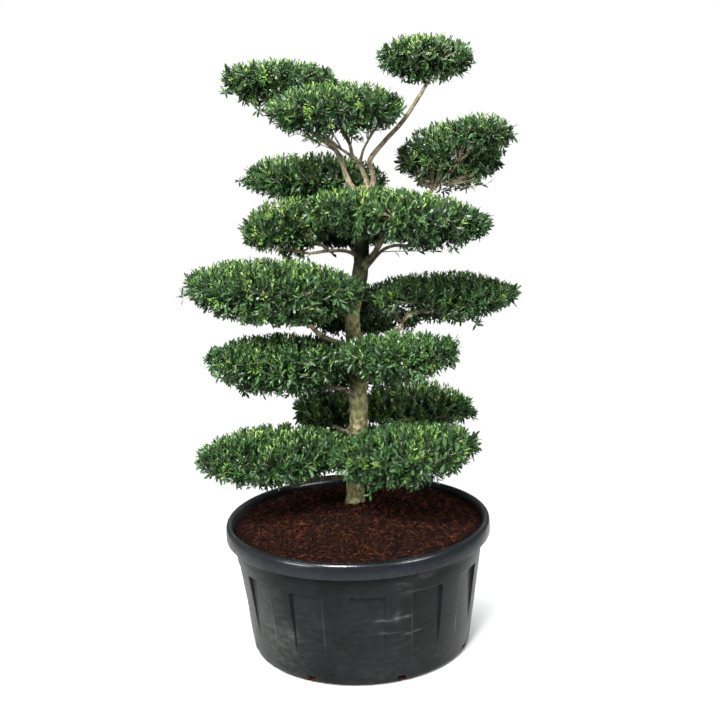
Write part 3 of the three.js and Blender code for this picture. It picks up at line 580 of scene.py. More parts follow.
def named_masses():
    """Each mass with its phase, the source's next numbers and the hub where its stem divides."""
    masses = []
    for index, spec in enumerate(MASSES):
        draw = seeded_random(SEED + index)
        places = dict(middle=np.array(spec["middle"]), half=np.array(spec["half"]))
        mass = {**spec, **places, "draw": draw, "index": index, "phase": TURN * draw()}
        mass["hub"] = point_in(mass, 0, 0, HUB_HEIGHT)
        masses.append(mass)
    return masses


CROWN = named_masses()


def own_space(mass, points, margin):
    """Whether points are nearer to this mass than to any other, by each mass's own size."""
    own = measure(mass, points) + margin
    return np.all([measure(other, points) > own for other in CROWN if other is not mass], axis=0)


def clear_of_wood(points):
    """Whether points keep clear of the trunk's and the boughs' bark."""
    apart = np.linalg.norm(points[:, None] - WOOD_POINTS[None], axis=-1)
    return np.all(apart > WOOD_RADII + WOOD_CLEARANCE, axis=1)


def in_leaf(points, rng):
    """Whether leaves may stand at points: nearly everywhere, and at a share of places in a bay."""
    kept = np.ones(len(points), bool)
    for bay in BAYS:
        offset = (points - np.array(bay["middle"])) / np.array(bay["half"])
        outside = np.linalg.norm(offset, axis=-1) >= 1
        kept &= outside | (rng.uniform(0, 1, len(points)) < bay["left"])
    return kept


def outward(mass, points):
    """The direction out of a mass at points, along (x / a^2, y / b^2, z / h^2)."""
    offset = points - mass["middle"]
    height = offset[:, 2] - mass["slope"] * offset[:, 0]
    tall = np.where(height > 0, mass["rise"], mass["drop"])
    across = offset[:, :2] / mass["half"] ** 2
    return unit(np.column_stack([across, height / tall**2]))


def surface_places(mass, side, spacing, rng):
    """Places dealt evenly over the top (side 1) or the underside (side -1) of a mass.

    A ring at r has the area r sqrt(1 + (h dome'(r) / a)^2), so r is dealt by the share of the
    area within it, and the angle steps on by the golden angle.
    """
    r = np.linspace(0, 1, 200)
    dome = dome_top(r) if side > 0 else dome_under(r, mass["fullness"])
    height = mass["rise"] if side > 0 else mass["drop"]
    width = math.sqrt(mass["half"][0] * mass["half"][1])
    steep = np.minimum(np.abs(np.gradient(dome, r)) * height / width, 4)
    ring = r * np.sqrt(1 + steep**2)
    within = np.concatenate([[0], np.cumsum((ring[1:] + ring[:-1]) / 2 * np.diff(r))])
    area = TURN * width**2 * within[-1]
    count = int(area / spacing**2)
    share = (np.arange(count) + rng.uniform(0.2, 0.8, count)) / count
    angle = rng.uniform(0, TURN) + GOLDEN_ANGLE * np.arange(count) + rng.normal(0, 0.25, count)
    return angle, np.interp(share, within / within[-1], r)


def nearest_joint(points, joints, hub):
    """For each point the joint that reaches it by the shortest wood, counted from the hub."""
    apart = np.linalg.norm(points[:, None] - joints[None], axis=-1)
    way = np.linalg.norm(joints - hub, axis=-1)
    return np.argmin(apart + 0.35 * way[None], axis=1)


def spoke_lines(mass):
    """Starts and ends of the source's spokes, each with its fork, and of one more fork for each."""
    hub = mass["hub"]
    turn = TURN * mass["draw"]()
    lines = []
    for i in range(SPOKES):
        angle = turn + (i + 0.3 * mass["draw"]()) * TURN / SPOKES
        side = FORK_ANGLE if i % 2 else -FORK_ANGLE
        end = point_in(mass, angle, SPOKE_REACH, 0)
        lines.append((hub, end))
        lines.append((lerp(hub, end, FORK_SHARE), point_in(mass, angle + side, SPOKE_REACH, 0)))
        lines.append((lerp(hub, end, 0.25), point_in(mass, angle - side * 1.2, 0.75, 0)))
    starts, ends = (np.array(v) for v in zip(*lines))
    good = own_space(mass, ends, 0) & clear_of_wood(ends)
    return starts[good], ends[good]


def shoot_lines(mass, side, out, up, spacing, rng):
    """Roots and tips of the shoots that end on one side of a mass's clipped surface. They lean
    outward and upward by the shares out and up, and stand thinner in the middle underneath."""
    angle, r = surface_places(mass, side, spacing, rng)
    depth = CLIPPED_DEPTH - np.abs(rng.normal(0, 0.05, len(r)))
    tips = point_in(mass, angle, r, side)
    tips = mass["middle"] + (tips - mass["middle"]) * depth[:, None]
    lean = unit(outward(mass, tips) * out + UP * up + rng.normal(0, 0.3, tips.shape))
    roots = tips - lean * rng.uniform(*SHOOT_LENGTHS, len(tips))[:, None]
    good = own_space(mass, tips, LEAF_MARGIN) & clear_of_wood(tips) & clear_of_wood(roots)
    good &= in_leaf(tips, rng)
    if side < 0:
        good &= rng.uniform(0, 1, len(r)) > mass["open_under"] * (1 - r**2)
    return roots[good], tips[good]


def grow_mass(mass, settings):
    """All twigs and sprays of one mass, by the source's rule and on to finer twigs.

    The source's spokes and forks run from the hub. Branches rise from them into the mass,
    and shoots leave the branches for places on its clipped surface. A twig starts at the
    nearest joint of the wood before it.
    """
    rng = np.random.default_rng(SEED + 100 + mass["index"])
    hub = mass["hub"]
    limb = LIMBS[mass["name"]]
    twigs = []

    def add(starts, middles, ends, count, root, tip):
        """Twigs along quadratic curves, with their radii at both ends."""
        paths = curved(starts, middles, ends, count)
        radii = np.broadcast_to(np.linspace(root, tip, count), paths.shape[:2])
        twigs.append((paths, radii))
        return paths

    entry = limb["path"][-1]
    heading = unit(limb["path"][-1] - limb["path"][-4])
    bend = entry + heading * 0.4 * np.linalg.norm(hub - entry)
    stem_radii = (limb["tip"] * 0.97, STEM_RADIUS)
    stem = add(entry[None] - heading * STEM_OVERLAP, bend[None], hub[None], 7, *stem_radii)

    starts, ends = spoke_lines(mass)
    sag = (starts + ends) / 2 + rng.normal(0, 8, ends.shape) - UP * SPOKE_SAG * mass["drop"]
    main = add(starts, sag, ends, 10, *SPOKE_RADII)
    joints = np.vstack([stem[:, 2:].reshape(-1, 3), main.reshape(-1, 3)])

    # branches that rise into the top and hang into the underside, with a few old leaves each
    sprays = []
    for side, height, spacing, root in BRANCHES:
        angle, r = surface_places(mass, side, spacing, rng)
        ends = point_in(mass, angle, r * 0.9, side * height)
        ends = ends[own_space(mass, ends, 0) & clear_of_wood(ends) & in_leaf(ends, rng)]
        starts = joints[nearest_joint(ends, joints, hub)]
        middles = lerp(starts, ends, 0.5) - UP * 6 * side + rng.normal(0, 5, ends.shape)
        branches = add(starts, middles, ends, 5, root, BRANCH_TIP_RADIUS)
        joints = np.vstack([joints, branches[:, 2:].reshape(-1, 3)])
        inner = np.full(len(ends), -1.0)
        sprays.append(dict(starts=starts, bends=middles, tips=ends, height=inner, old=True))

    # shoots, to the clipped surface
    for side, share, out, up in SHOOTS:
        spacing = settings.shoot_spacing * share * 1000
        roots, tips = shoot_lines(mass, side, out, up, spacing, rng)
        starts = joints[nearest_joint(roots, joints, hub)]
        add(starts, roots, tips, 4, *SHOOT_RADII)
        height = (tips[:, 2] - mass["middle"][2]) / (mass["rise"] if side > 0 else mass["drop"])
        sprays.append(dict(starts=starts, bends=roots, tips=tips, height=height, old=False))

    # the fans of bare twigs
    for fan in (fan for fan in FANS if fan["mass"] == mass["name"]):
        base, toward, spread = (np.array(fan[key], float) for key in ("base", "toward", "spread"))
        tips = toward + spread * rng.uniform(-1, 1, (FAN_TWIGS, 3))
        middles = lerp(base, tips, 0.5) + rng.normal(0, 6, tips.shape) - UP * 4
        add(np.broadcast_to(base, tips.shape), middles, tips, 9, *FAN_RADII)

    # the named thin twigs, with old leaves
    for low in (low for low in LOW_TWIGS if low["mass"] == mass["name"]):
        start, bend, tip = (np.array([low[key]], float) for key in ("start", "bend", "tip"))
        add(start, bend, tip, 9, *LOW_TWIG_RADII)
        sprays.append(dict(starts=start, bends=bend, tips=tip, height=np.zeros(1), old=True))
    return twigs, sprays


def twig_sides(radius):
    """How many sides a twig's tube has: the thin ones have three."""
    return 6 if radius > 3 else 4 if radius > 1.2 else 3


# Leaves

# places on a leaf as shares of its length and of its half width, from the base to the tip
LEAF_STATIONS = ((0, 0), (0.42, 0), (0.4, 1), (0.4, -1), (0.8, 0.7), (0.8, -0.7), (1, 0))
LEAF_CORNERS = (0, 3, 1, 0, 1, 2, 1, 3, 5, 1, 5, 4, 1, 4, 2, 5, 6, 4)
LEAF_SIZES = (3,) * 6


def leaf_blades(bases, axes, normals, lengths, width, tint):
    """Narrow leaves with a pointed tip, folded along the midrib and bent down to the tip.

    A blade runs along its axis: at the share x of its length the midrib lies -bend x^2 off
    the plane, and its two edges y half widths to the sides and fold |y| above the midrib.
    """
    x, y = (np.array(v, float) for v in zip(*LEAF_STATIONS))
    beside = np.cross(normals, axes)
    half = (lengths * width / 2)[:, None]
    along = lengths[:, None] * x
    lift = half * LEAF_FOLD * np.abs(y) - lengths[:, None] * LEAF_BEND * x**2
    points = (
        bases[:, None]
        + axes[:, None] * along[..., None]
        + beside[:, None] * (half * y)[..., None]
        + normals[:, None] * lift[..., None]
    )
    n = len(bases)
    corners = np.array(LEAF_CORNERS)[None] + (np.arange(n) * len(x))[:, None]
    uv = np.tile(np.stack([x, y / 2 + 0.5], axis=-1), (n, 1))
    sizes = np.tile(LEAF_SIZES, n)
    return Surface(points, corners, sizes, np.repeat(tint, len(LEAF_SIZES)), uv)


def spray_leaves(mass, sprays, settings):
    """The leaves along every shoot, each a golden angle round it from the one before.

    A leaf leans from the shoot by an angle that closes towards the tip. Its upper face looks
    along the shoot and a little upward. Each spray draws one tint, painted lighter on top of the
    mass and darker underneath, and lighter still by the mass's share of painted light. Leaves near
    a shoot's foot take the deep tint, the darker green of older leaves and painted shade inside.
    The youngest leaves of some sprays on top are a paler, yellower green, mostly in the upper
    masses. Inside, old dark leaves, their deep tint partly painted shade, stand wide apart along the
    branches.
    """
    rng = np.random.default_rng(SEED + 300 + mass["index"])
    blades = []
    for spray in sprays:
        old, height = spray["old"], np.clip(spray["height"], -1, 1)
        count = settings.old_leaves if old else settings.leaves_per_shoot
        n = len(spray["tips"])
        rise = np.linspace(0, 1, count)[None] + rng.uniform(-0.3, 0.3, (n, count)) / count
        rise = np.clip(rise, 0, 1)
        t = lerp(0.3 if old else 0.4, 0.985, rise)[..., None]
        a, m, b = (spray[key][:, None] for key in ("starts", "bends", "tips"))
        bases = quadratic(a, m, b, t)
        heading = unit((1 - t) * (m - a) + t * (b - m))
        side = unit(np.cross(heading, rng.normal(0, 1, (n, 1, 3))))
        other = np.cross(heading, side)
        angle = (np.arange(count) * GOLDEN_ANGLE + rng.normal(0, 0.3, (n, count)))[..., None]
        lean = (lerp(*LEAF_LEANS, rise) + rng.normal(0, 0.16, (n, count)))[..., None]
        axes = heading * np.cos(lean) + (side * np.cos(angle) + other * np.sin(angle)) * np.sin(lean)
        axes = unit(axes + UP * LEAF_LIFT)
        normals = heading + UP * FACE_LIFT + rng.normal(0, 0.26, axes.shape)
        normals = unit(normals - np.sum(normals * axes, axis=-1, keepdims=True) * axes)
        lengths = settings.leaf_length * 1000 * rng.uniform(*LEAF_SPREAD, (n, count))
        lengths = lengths * (1.25 if old else lerp(1, 0.68, rise**3))
        upper = smoothstep(*UPPER_MASSES, mass["middle"][2])
        # painted light: a spray is lighter on top, darker underneath, and lighter by the mass's light
        # share
        tone = np.digitize(rng.uniform(0, 1, n) + 0.22 * height + mass["light"], TONE_STEPS)
        tint = np.repeat(np.where(old, 0, tone)[:, None], count, axis=1)
        # the deep tint at a shoot's foot: older leaves and painted shade inside the mass
        tint = np.where(rise < DEEP_AND_SHADED_BELOW, 0, tint)
        fresh = (0.12 + 0.5 * np.maximum(height, 0)) * lerp(0.4, 1, upper) + mass["young"]
        young = (rng.uniform(0, 1, n) < fresh) & (not old)
        tint = np.where(young[:, None] & (rise > BRIGHT_ABOVE), 2, tint)
        tint = np.where(young[:, None] & (rise > YOUNG_ABOVE), 3, tint)
        flat = [v.reshape(-1, 3) for v in (bases, axes, normals)]
        middle = flat[0] + flat[1] * (lengths.reshape(-1, 1) * 0.6)
        good = clear_of_wood(middle)
        picked = [v[good] for v in (*flat, lengths.ravel())]
        blades.append(leaf_blades(*picked, settings.leaf_width, tint.ravel()[good]))
    return joined(blades)


# Tub


def rounded(corners):
    """A profile with its corners rounded: each corner (radius, z, size) becomes four points of
    a quadratic curve between the places that lie its size away from it."""
    flat = [np.array(c[:2], float) for c in corners]
    out = []
    for i, corner in enumerate(corners):
        size = corner[2]
        if size == 0 or i in (0, len(corners) - 1):
            out.append(flat[i])
            continue
        before = flat[i] + unit(flat[i - 1] - flat[i]) * size
        after = flat[i] + unit(flat[i + 1] - flat[i]) * size
        for t in (0, 1 / 3, 2 / 3, 1):
            out.append(quadratic(before, flat[i], after, t))
    return np.array(out)


def wall_radius(z):
    """The wall leans outward in a straight line from its foot to the lip."""
    share = (z - FOOT_CORNER) / (TUB_HEIGHT - LIP_HEIGHT - FOOT_CORNER)
    return WALL_LOW_RADIUS + (WALL_TOP_RADIUS - WALL_LOW_RADIUS) * share


def degrees_off(azimuth, phase, count=1):
    """Degrees to the nearest of count places spaced evenly round the tub, one of them at phase."""
    period = 360 / count
    return np.mod(azimuth - phase + period / 2, period) - period / 2


def tub_columns():
    """Azimuths of the tub's columns in degrees: both edges of each panel and drain, and a fill."""
    inner, outer = PANEL_HALF_ANGLE, PANEL_HALF_ANGLE + PANEL_BEVEL_ANGLE
    bevel = (inner - 0.25, inner, lerp(inner, outer, 0.5), outer, outer + 0.25)
    drain = (DRAIN_HALF_ANGLE - 0.12, DRAIN_HALF_ANGLE + 0.12)
    edges = []
    for phase, count, half in ((PANEL_PHASE, PANEL_COUNT, bevel), (DRAIN_PHASE, DRAIN_COUNT, drain)):
        for i in range(count):
            edges += [phase + 360 / count * i + s * h for s in (-1, 1) for h in half]
    edges = np.sort(np.mod(edges, 360))
    fill = np.arange(0, 360, 1.1)
    apart = np.abs(degrees_off(fill[:, None], edges[None])).min(axis=1)
    return np.sort(np.concatenate([edges, fill[apart > 0.45]]))


def panel_depth(azimuth, z):
    """How deep the panels lie: straight from nothing at their foot to full depth at their top,
    between bevelled sides and under a bevelled upper edge."""
    off = np.abs(degrees_off(azimuth, PANEL_PHASE, PANEL_COUNT))
    inside = 1 - smoothstep(PANEL_HALF_ANGLE, PANEL_HALF_ANGLE + PANEL_BEVEL_ANGLE, off)
    deep = np.clip((z - PANEL_FOOT) / (PANEL_TOP - PANEL_FOOT), 0, 1)
    under = 1 - smoothstep(PANEL_TOP - 1, PANEL_TOP + PANEL_TOP_BEVEL, z)
    return PANEL_DEPTH * deep * inside * under


def panel_edge(azimuth, z):
    """4 s (1 - s) of the share s inside a panel: 1 in the middle of the bevelled side that is
    nearer to the front, -1 in the middle of the other side, 0 elsewhere."""
    off = degrees_off(azimuth, PANEL_PHASE, PANEL_COUNT)
    inside = smoothstep(PANEL_HALF_ANGLE, PANEL_HALF_ANGLE + PANEL_BEVEL_ANGLE, np.abs(off))
    along = smoothstep(PANEL_FOOT, PANEL_FOOT + 80, z) * (z < PANEL_TOP)
    return 4 * inside * (1 - inside) * along * -np.sign(off * degrees_off(azimuth, 0))


def drain_depth(azimuth, z):
    """How deep the drain holes lie: full depth within their width and height, none outside."""
    off = np.abs(degrees_off(azimuth, DRAIN_PHASE, DRAIN_COUNT))
    beside = 1 - smoothstep(DRAIN_HALF_ANGLE - 0.14, DRAIN_HALF_ANGLE + 0.14, off)
    top = DRAIN_SILL + DRAIN_HEIGHT
    level = smoothstep(DRAIN_SILL - 0.6, DRAIN_SILL + 0.6, z)
    return DRAIN_DEPTH * beside * (level * (1 - smoothstep(top - 0.6, top + 0.6, z)))


def tub_profile():
    """Radii and heights of the underside, the wall, the lip, the inside and the floor."""
    lip_bottom = TUB_HEIGHT - LIP_HEIGHT
    heel = FOOT_RADIUS + 14
    outer = rounded([(6, 0, 0), (FOOT_RADIUS, 0, 3), (FOOT_RADIUS + 12, 5, 1.5), (heel, 6.2, 0)])
    sill, top = DRAIN_SILL, DRAIN_SILL + DRAIN_HEIGHT
    wall_rows = np.concatenate(
        [
            [sill - 0.6, sill + 0.6, sill + 4, top - 5, top - 0.6, top + 0.6],
            np.linspace(top + 6, PANEL_FOOT, 8),
            np.linspace(PANEL_FOOT + 6, PANEL_TOP - 1, 38),
            np.linspace(PANEL_TOP, PANEL_TOP + PANEL_TOP_BEVEL, 6),
            np.linspace(PANEL_TOP + PANEL_TOP_BEVEL + 4, lip_bottom - 6, 9),
        ]
    )
    foot = np.clip((wall_rows - 6.2) / (FOOT_CORNER - 6.2), 0, 1)
    curve = np.sqrt(1 - (1 - foot) ** 2)
    low = wall_rows < FOOT_CORNER
    wall_r = np.where(low, lerp(heel, WALL_LOW_RADIUS, curve), wall_radius(wall_rows))
    for height, deep, half in WALL_RINGS:
        wall_r = wall_r - deep * np.exp(-(((wall_rows - height) / half) ** 2))
    wall = np.stack([wall_r, wall_rows], axis=-1)
    hollow = TUB_HEIGHT - LIP_HOLLOW_TOP
    lip = rounded(
        [
            (WALL_TOP_RADIUS, lip_bottom, 0),
            (WALL_TOP_RADIUS + 3, hollow, 3),
            (LIP_RADIUS - LIP_SKIRT, hollow, 3),
            (LIP_RADIUS - LIP_SKIRT, lip_bottom + 1, 1.5),
            (LIP_RADIUS, lip_bottom, 2),
            (LIP_RADIUS - 0.5, TUB_HEIGHT - 22, 8),
            (LIP_RADIUS - 3, TUB_HEIGHT - 5, 6),
            (LIP_RADIUS - 13, TUB_HEIGHT, 7),
            (LIP_THROAT_RADIUS + 3, TUB_HEIGHT - 2, 5),
            (LIP_THROAT_RADIUS - 2, TUB_HEIGHT - 14, 5),
            (WALL_TOP_RADIUS - WALL_THICKNESS, lip_bottom, 0),
        ]
    )
    inside_rows = wall_rows[wall_rows > FOOT_CORNER + 6][::-1]
    inside = np.stack([wall_radius(inside_rows) - WALL_THICKNESS, inside_rows], axis=-1)
    floor = rounded(
        [
            (WALL_LOW_RADIUS - WALL_THICKNESS, FOOT_CORNER + 4, 0),
            (WALL_LOW_RADIUS - WALL_THICKNESS - 14, FLOOR_THICKNESS, 5),
            (6, FLOOR_THICKNESS, 0),
        ]
    )
    return [outer, wall, lip, inside, floor]


def tub_surface():
    """The tub as its profile turned round its axis, with the panels' and drains' depths taken
    from the radius. The inside of a drain hole has tint 1, the compost seen in it."""
    parts = tub_profile()
    lengths = [len(part) for part in parts]
    panelled, drained = (np.repeat(on, lengths)[:, None] for on in ([0, 1, 0, 1, 0], [0, 1, 0, 0, 0]))
    profile = np.vstack(parts)
    azimuth, z = np.broadcast_arrays(tub_columns(), profile[:, 1:2])
    drains = drain_depth(azimuth, z) * drained
    angle = np.radians(azimuth)
    uneven = 0.9 * smooth_noise(angle, z / 160, 14, 5) * smoothstep(40, 430, z)
    depth = panel_depth(azimuth, z) * panelled + drains
    radius = profile[:, :1] - depth + uneven * (profile[:, :1] > 300)
    points = np.stack([radius * np.sin(angle), -radius * np.cos(angle), z], axis=-1)
    hole = drains > 0.9 * DRAIN_DEPTH
    hole = hole[:-1] | hole[1:]
    hole = hole | np.roll(hole, -1, axis=1)
    tint = np.append(hole, [0, 0])
    return Surface(points, *closed_faces(*z.shape), tint, mark=scuffs_and_painted_light(azimuth, z))


# Scuffs on the wall, and two broad pale patches at the sides that are painted sheen: azimuth in
# degrees, height, half width in degrees, half height, strength
SCUFFS_AND_SIDE_SHEEN = named_rows(
    "at z wide tall strength",
    (10, 252, 3.4, 3.5, 1.0),
    (16, 262, 1.2, 18, 0.6),
    (21, 258, 3.0, 4, 0.9),
    (12, 205, 5.5, 2.5, 0.7),
    (24, 190, 4.0, 3, 0.6),
    (19, 384, 5.5, 16, 0.3),
    (28, 398, 4.5, 16, 0.45),
    (22, 345, 4.5, 10, 0.25),
    # painted sheen: broad pale patches down both sides of the wall
    (-84, 250, 30, 230, 0.65),
    (88, 250, 24, 230, 0.55),
    (-45, 110, 16, 90, 0.2),
    (-34, 180, 3.5, 20, 0.4),
    (150, 240, 4.0, 14, 0.6),
    (232, 160, 3.5, 18, 0.5),
)


def scuffs_and_painted_light(azimuth, z):
    """How scuffed the wall is, with painted light in it: soft spots at the named places, the broad
    ones at the sides being painted sheen, and the bevels beside the panels, a painted highlight on
    the one nearer the front and painted shade on the other, which is below 0 and fades out at the
    front."""
    # painted highlight on the bevel nearer the front, painted shade below 0 on the other
    bevel = panel_edge(azimuth, z)
    aside = smoothstep(8, 24, np.abs(degrees_off(azimuth, 0)))
    total = 0.16 * np.maximum(bevel, 0) + 0.7 * aside * np.minimum(bevel, 0)
    for s in SCUFFS_AND_SIDE_SHEEN:
        apart = (degrees_off(azimuth, s["at"]) / s["wide"]) ** 2 + ((z - s["z"]) / s["tall"]) ** 2
        total = total + s["strength"] * np.exp(-apart)
    return np.clip(total, -1, 1).ravel()


# Soil


def ground_noise(x, y, cell, seed):
    """Value noise from -1 to 1 over the ground, on a square lattice of the cell's size."""
    rng = np.random.default_rng(seed)
    lattice = rng.uniform(-1, 1, (256, 256))
    u, v = x / cell + 128, y / cell + 128
    i, j = np.floor(u).astype(int) % 255, np.floor(v).astype(int) % 255
    s, t = smoothstep(0, 1, u - np.floor(u)), smoothstep(0, 1, v - np.floor(v))
    near = lerp(lattice[j, i], lattice[j, i + 1], s)
    far = lerp(lattice[j + 1, i], lattice[j + 1, i + 1], s)
    return lerp(near, far, t)


def inside_radius(gap):
    """The tub's inner radius at the soil's edge, less a gap."""
    return wall_radius(SOIL_EDGE) - WALL_THICKNESS - gap


def from_trunk(x, y):
    """The distance to the middle of the trunk's foot."""
    return np.hypot(x - TRUNK_STATIONS[0]["x"], y - TRUNK_STATIONS[0]["y"])


def soil_height(x, y):
    """A low plateau that falls to the edge in half a cosine wave, roughened by three noises,
    and drawn up a little round the trunk."""
    r = np.hypot(x, y)
    share = np.clip((r - PLATEAU_RADIUS) / (inside_radius(0) - PLATEAU_RADIUS), 0, 1)
    base = SOIL_EDGE + (SOIL_TOP - SOIL_EDGE) * (0.5 + 0.5 * np.cos(np.pi * share))
    rough = sum(height * ground_noise(x, y, cell, seed) for height, cell, seed in SOIL_NOISES)
    bank = 5 * smoothstep(0.5, 1, share) * (x - y) / (r + 1)
    drawn_up = 5 * np.exp(-((from_trunk(x, y) / 60) ** 2))
    return base + bank + rough * (1 - 0.6 * smoothstep(0.8, 1, share)) + drawn_up - 4


def soil_surface():
    """The soil's top as rings round the tub's axis, with a skirt down inside the wall."""
    columns, rings = 460, 84
    edge = inside_radius(1)
    radius = np.linspace(4, edge, rings)[::-1]
    angle = TURN * np.arange(columns) / columns
    r, a = np.meshgrid(radius, angle, indexing="ij")
    x, y = r * np.cos(a), r * np.sin(a)
    top = np.stack([x, y, soil_height(x, y)], axis=-1)
    skirt = top[:1].copy()
    skirt[..., :2] *= (edge - 2) / edge
    skirt[..., 2] = SOIL_EDGE - 26
    return Surface(np.concatenate([skirt, top]), *closed_faces(rings + 1, columns))


def on_soil(count, rng, margin=14):
    """Places spread evenly over the soil, off the trunk."""
    r = inside_radius(margin) * np.sqrt(rng.uniform(0, 1, count))
    a = rng.uniform(0, TURN, count)
    x, y = r * np.cos(a), r * np.sin(a)
    free = from_trunk(x, y) > 46
    return x[free], y[free]


def fibre_surface(count, seed):
    """Coir strands: short tubes that follow the ground along a bent line and arch over it.

    At the share t of its length a strand lies at the start + t length (cos, sin)(heading +
    bend t), a little over the ground there, and its arch adds h 4 t (1 - t).
    """
    rng = np.random.default_rng(seed)
    x, y = on_soil(count, rng, 30)
    n = len(x)
    length = rng.gamma(3.0, 4.2, n) + 6
    heading, bend = rng.uniform(0, TURN, n), rng.normal(0, 0.5, n)
    t = np.linspace(0, 1, 5)[None]
    turn = heading[:, None] + bend[:, None] * t
    px = x[:, None] + length[:, None] * t * np.cos(turn)
    py = y[:, None] + length[:, None] * t * np.sin(turn)
    shrink = np.minimum(1, inside_radius(8) / np.hypot(px, py))
    px, py = px * shrink, py * shrink
    arch = np.abs(rng.normal(0, 5, n))[:, None] * 4 * t * (1 - t)
    pz = soil_height(px, py) + rng.uniform(0.3, 3.5, n)[:, None] + arch
    thick = rng.uniform(0.26, 0.66, n)[:, None] * (1 - 0.45 * t)
    tint = rng.choice(3, n, p=(0.42, 0.4, 0.18))
    return tubes(np.stack([px, py, pz], axis=-1), thick, 3, tint)


def lump_surface(count, seed):
    """Crumbs and bark chips: eight-faced lumps of three uneven half sizes, turned at random."""
    rng = np.random.default_rng(seed)
    x, y = on_soil(count, rng)
    n = len(x)
    size = rng.gamma(2.6, 1.2, n) + 1.2
    spans = ((0.8, 2.6), (0.6, 1.2), (0.3, 0.8))
    half = size[:, None] * np.stack([rng.uniform(low, high, n) for low, high in spans], axis=-1)
    axes = np.linalg.qr(rng.normal(0, 1, (n, 3, 3)) + np.eye(3) * 1.5)[0]
    axes = axes * np.sign(np.linalg.det(axes))[:, None, None]
    corners = np.vstack([np.eye(3), -np.eye(3)])
    corners = corners[None] * rng.uniform(0.7, 1.2, (n, 6, 1))
    offsets = np.einsum("nck,nkd->ncd", corners * half[:, None], axes)
    centre = np.stack([x, y, soil_height(x, y) + half[:, 2] * 0.6], axis=-1)
    faces = [(0, 1, 2), (1, 3, 2), (3, 4, 2), (4, 0, 2), (1, 0, 5), (3, 1, 5), (4, 3, 5), (0, 4, 5)]
    numbers = np.array(faces).reshape(1, -1) + (np.arange(n) * 6)[:, None]
    tint = np.repeat(rng.choice(3, n, p=(0.62, 0.3, 0.08)), 8)
    return Surface(centre[:, None] + offsets, numbers, np.full(n * 8, 3), tint)


# Bark

# plates, ripples and grain: height, length of a cell in millimetres, and cells round the limb
BARK_NOISES = ((1.9, 46, 9), (1.1, 11, 14), (0.5, 4, 22))
CRACK_NOISE = (30, 17)
CRACK_DEPTH = 2.4


def bark_relief(angle, along, radius, seed):
    """The bark's height over a smooth limb, in millimetres.

    Long cells of noise give plates that run along the limb, small cells give grain, and the
    highest parts of one more noise sink narrow cracks. All grow with the limb's radius.
    """
    raised = 0
    for i, (height, length, cells) in enumerate(BARK_NOISES):
        raised = raised + height * smooth_noise(angle, along / length, cells, seed + i)
    length, cells = CRACK_NOISE
    crack = smoothstep(0.45, 0.8, smooth_noise(angle, along / length, cells, seed + 3))
    return np.clip(radius / 30, 0.22, 1.1) * (raised - CRACK_DEPTH * crack)


# Pruning scars on the trunk: height, azimuth in degrees from the front, size
KNOTS = named_rows(
    "z at size",
    (805, -12, 19),
    (1712, 8, 15),
    (1265, -70, 14),
    (640, 140, 17),
    (1010, 205, 15),
)


def limb_surface(path, radius, sides, seed, knots=(), flare=False, collar=0):
    """A limb: its radius with bark relief, carried along its path.

    A collar widens the limb by half for its own length and less and less beyond. A knot is a
    raised ring round a sunk middle. The root flare is the source's, in lobes above the soil.
    """
    along = arc_lengths(path)
    angle = TURN * np.arange(sides) / sides
    s, t = np.meshgrid(along, angle, indexing="ij")
    base = radius[:, None] + 0 * t
    if collar:
        base = base * (1 + 0.5 * np.exp(-np.maximum(s - collar, 0) / (0.55 * collar)))
    surface = base + bark_relief(t, s, base, seed)
    mark = np.zeros_like(surface)
    if flare:
        share = np.maximum(1 - (path[:, 2:3] - SOIL_TOP) / FLARE_HEIGHT, 0)
        lobes = 0.6 + 0.4 * np.cos(FLARE_LOBES * t)
        surface = surface * (1 + FLARE * np.minimum(share, 1.3) ** 2 * lobes)
    built = tubes(path[None], surface[None], sides)
    points = built.points.reshape(len(path), sides, 3)
    for knot in knots:
        bearing = math.radians(knot["at"])
        out = np.array([math.sin(bearing), -math.cos(bearing), 0])
        centre = trunk_axis(knot["z"]) + out * trunk_radius(knot["z"])
        apart = np.linalg.norm(points - centre, axis=-1) / knot["size"]
        lift = 4.2 * np.exp(-(((apart - 0.75) / 0.28) ** 2)) - 2.5 * np.exp(-((apart / 0.5) ** 2))
        points = points + out * lift[..., None]
        mark = mark + np.exp(-((apart / 0.62) ** 4))
    grain = np.stack([base * np.cos(t), base * np.sin(t), s], axis=-1) * MM
    built.points = points.reshape(-1, 3)
    built.grain = grain.reshape(-1, 3)
    built.mark = np.clip(mark, 0, 1).ravel()
    return built


# Materials

# heights in metres between which each effect comes or goes
# painted shade on the bark: the dark band comes in between the first two heights and goes between the
# last two
SHADE_BAND_FROM, SHADE_BAND_TO = (1.26, 1.34), (1.46, 1.66)
LIP_FROM, RUBBED_LIP, SHADED_WALL = (0.4225, 0.4255), (0.452, 0.472), (0.3, 0.42)
FLOOR_FADE = (0.6, 2.4)


def feed(tree, socket, value):
    """Links a socket to another node's output, or sets its own value; a colour gets full alpha."""
    if isinstance(value, bpy.types.NodeSocket):
        tree.links.new(value, socket)
    elif socket.type == "RGBA":
        socket.default_value = (*value, 1)
    else:
        socket.default_value = value


def add_node(tree, kind, sockets=(), **settings):
    """A node with its own settings, and its inputs fed from pairs of socket and value."""
    node = tree.nodes.new(kind)
    for key, value in settings.items():
        setattr(node, key, value)
    for key, value in sockets:
        feed(tree, node.inputs[key], value)
    return node


def blend(tree, share, first, second):
    """Two colours mixed by a share."""
    sockets = [(0, share), (6, first), (7, second)]
    return add_node(tree, "ShaderNodeMix", sockets, data_type="RGBA").outputs[2]


def reckon(tree, operation, *values, clamp=False):
    """The result of one Math node."""
    settings = dict(operation=operation, use_clamp=clamp)
    return add_node(tree, "ShaderNodeMath", enumerate(values), **settings).outputs[0]


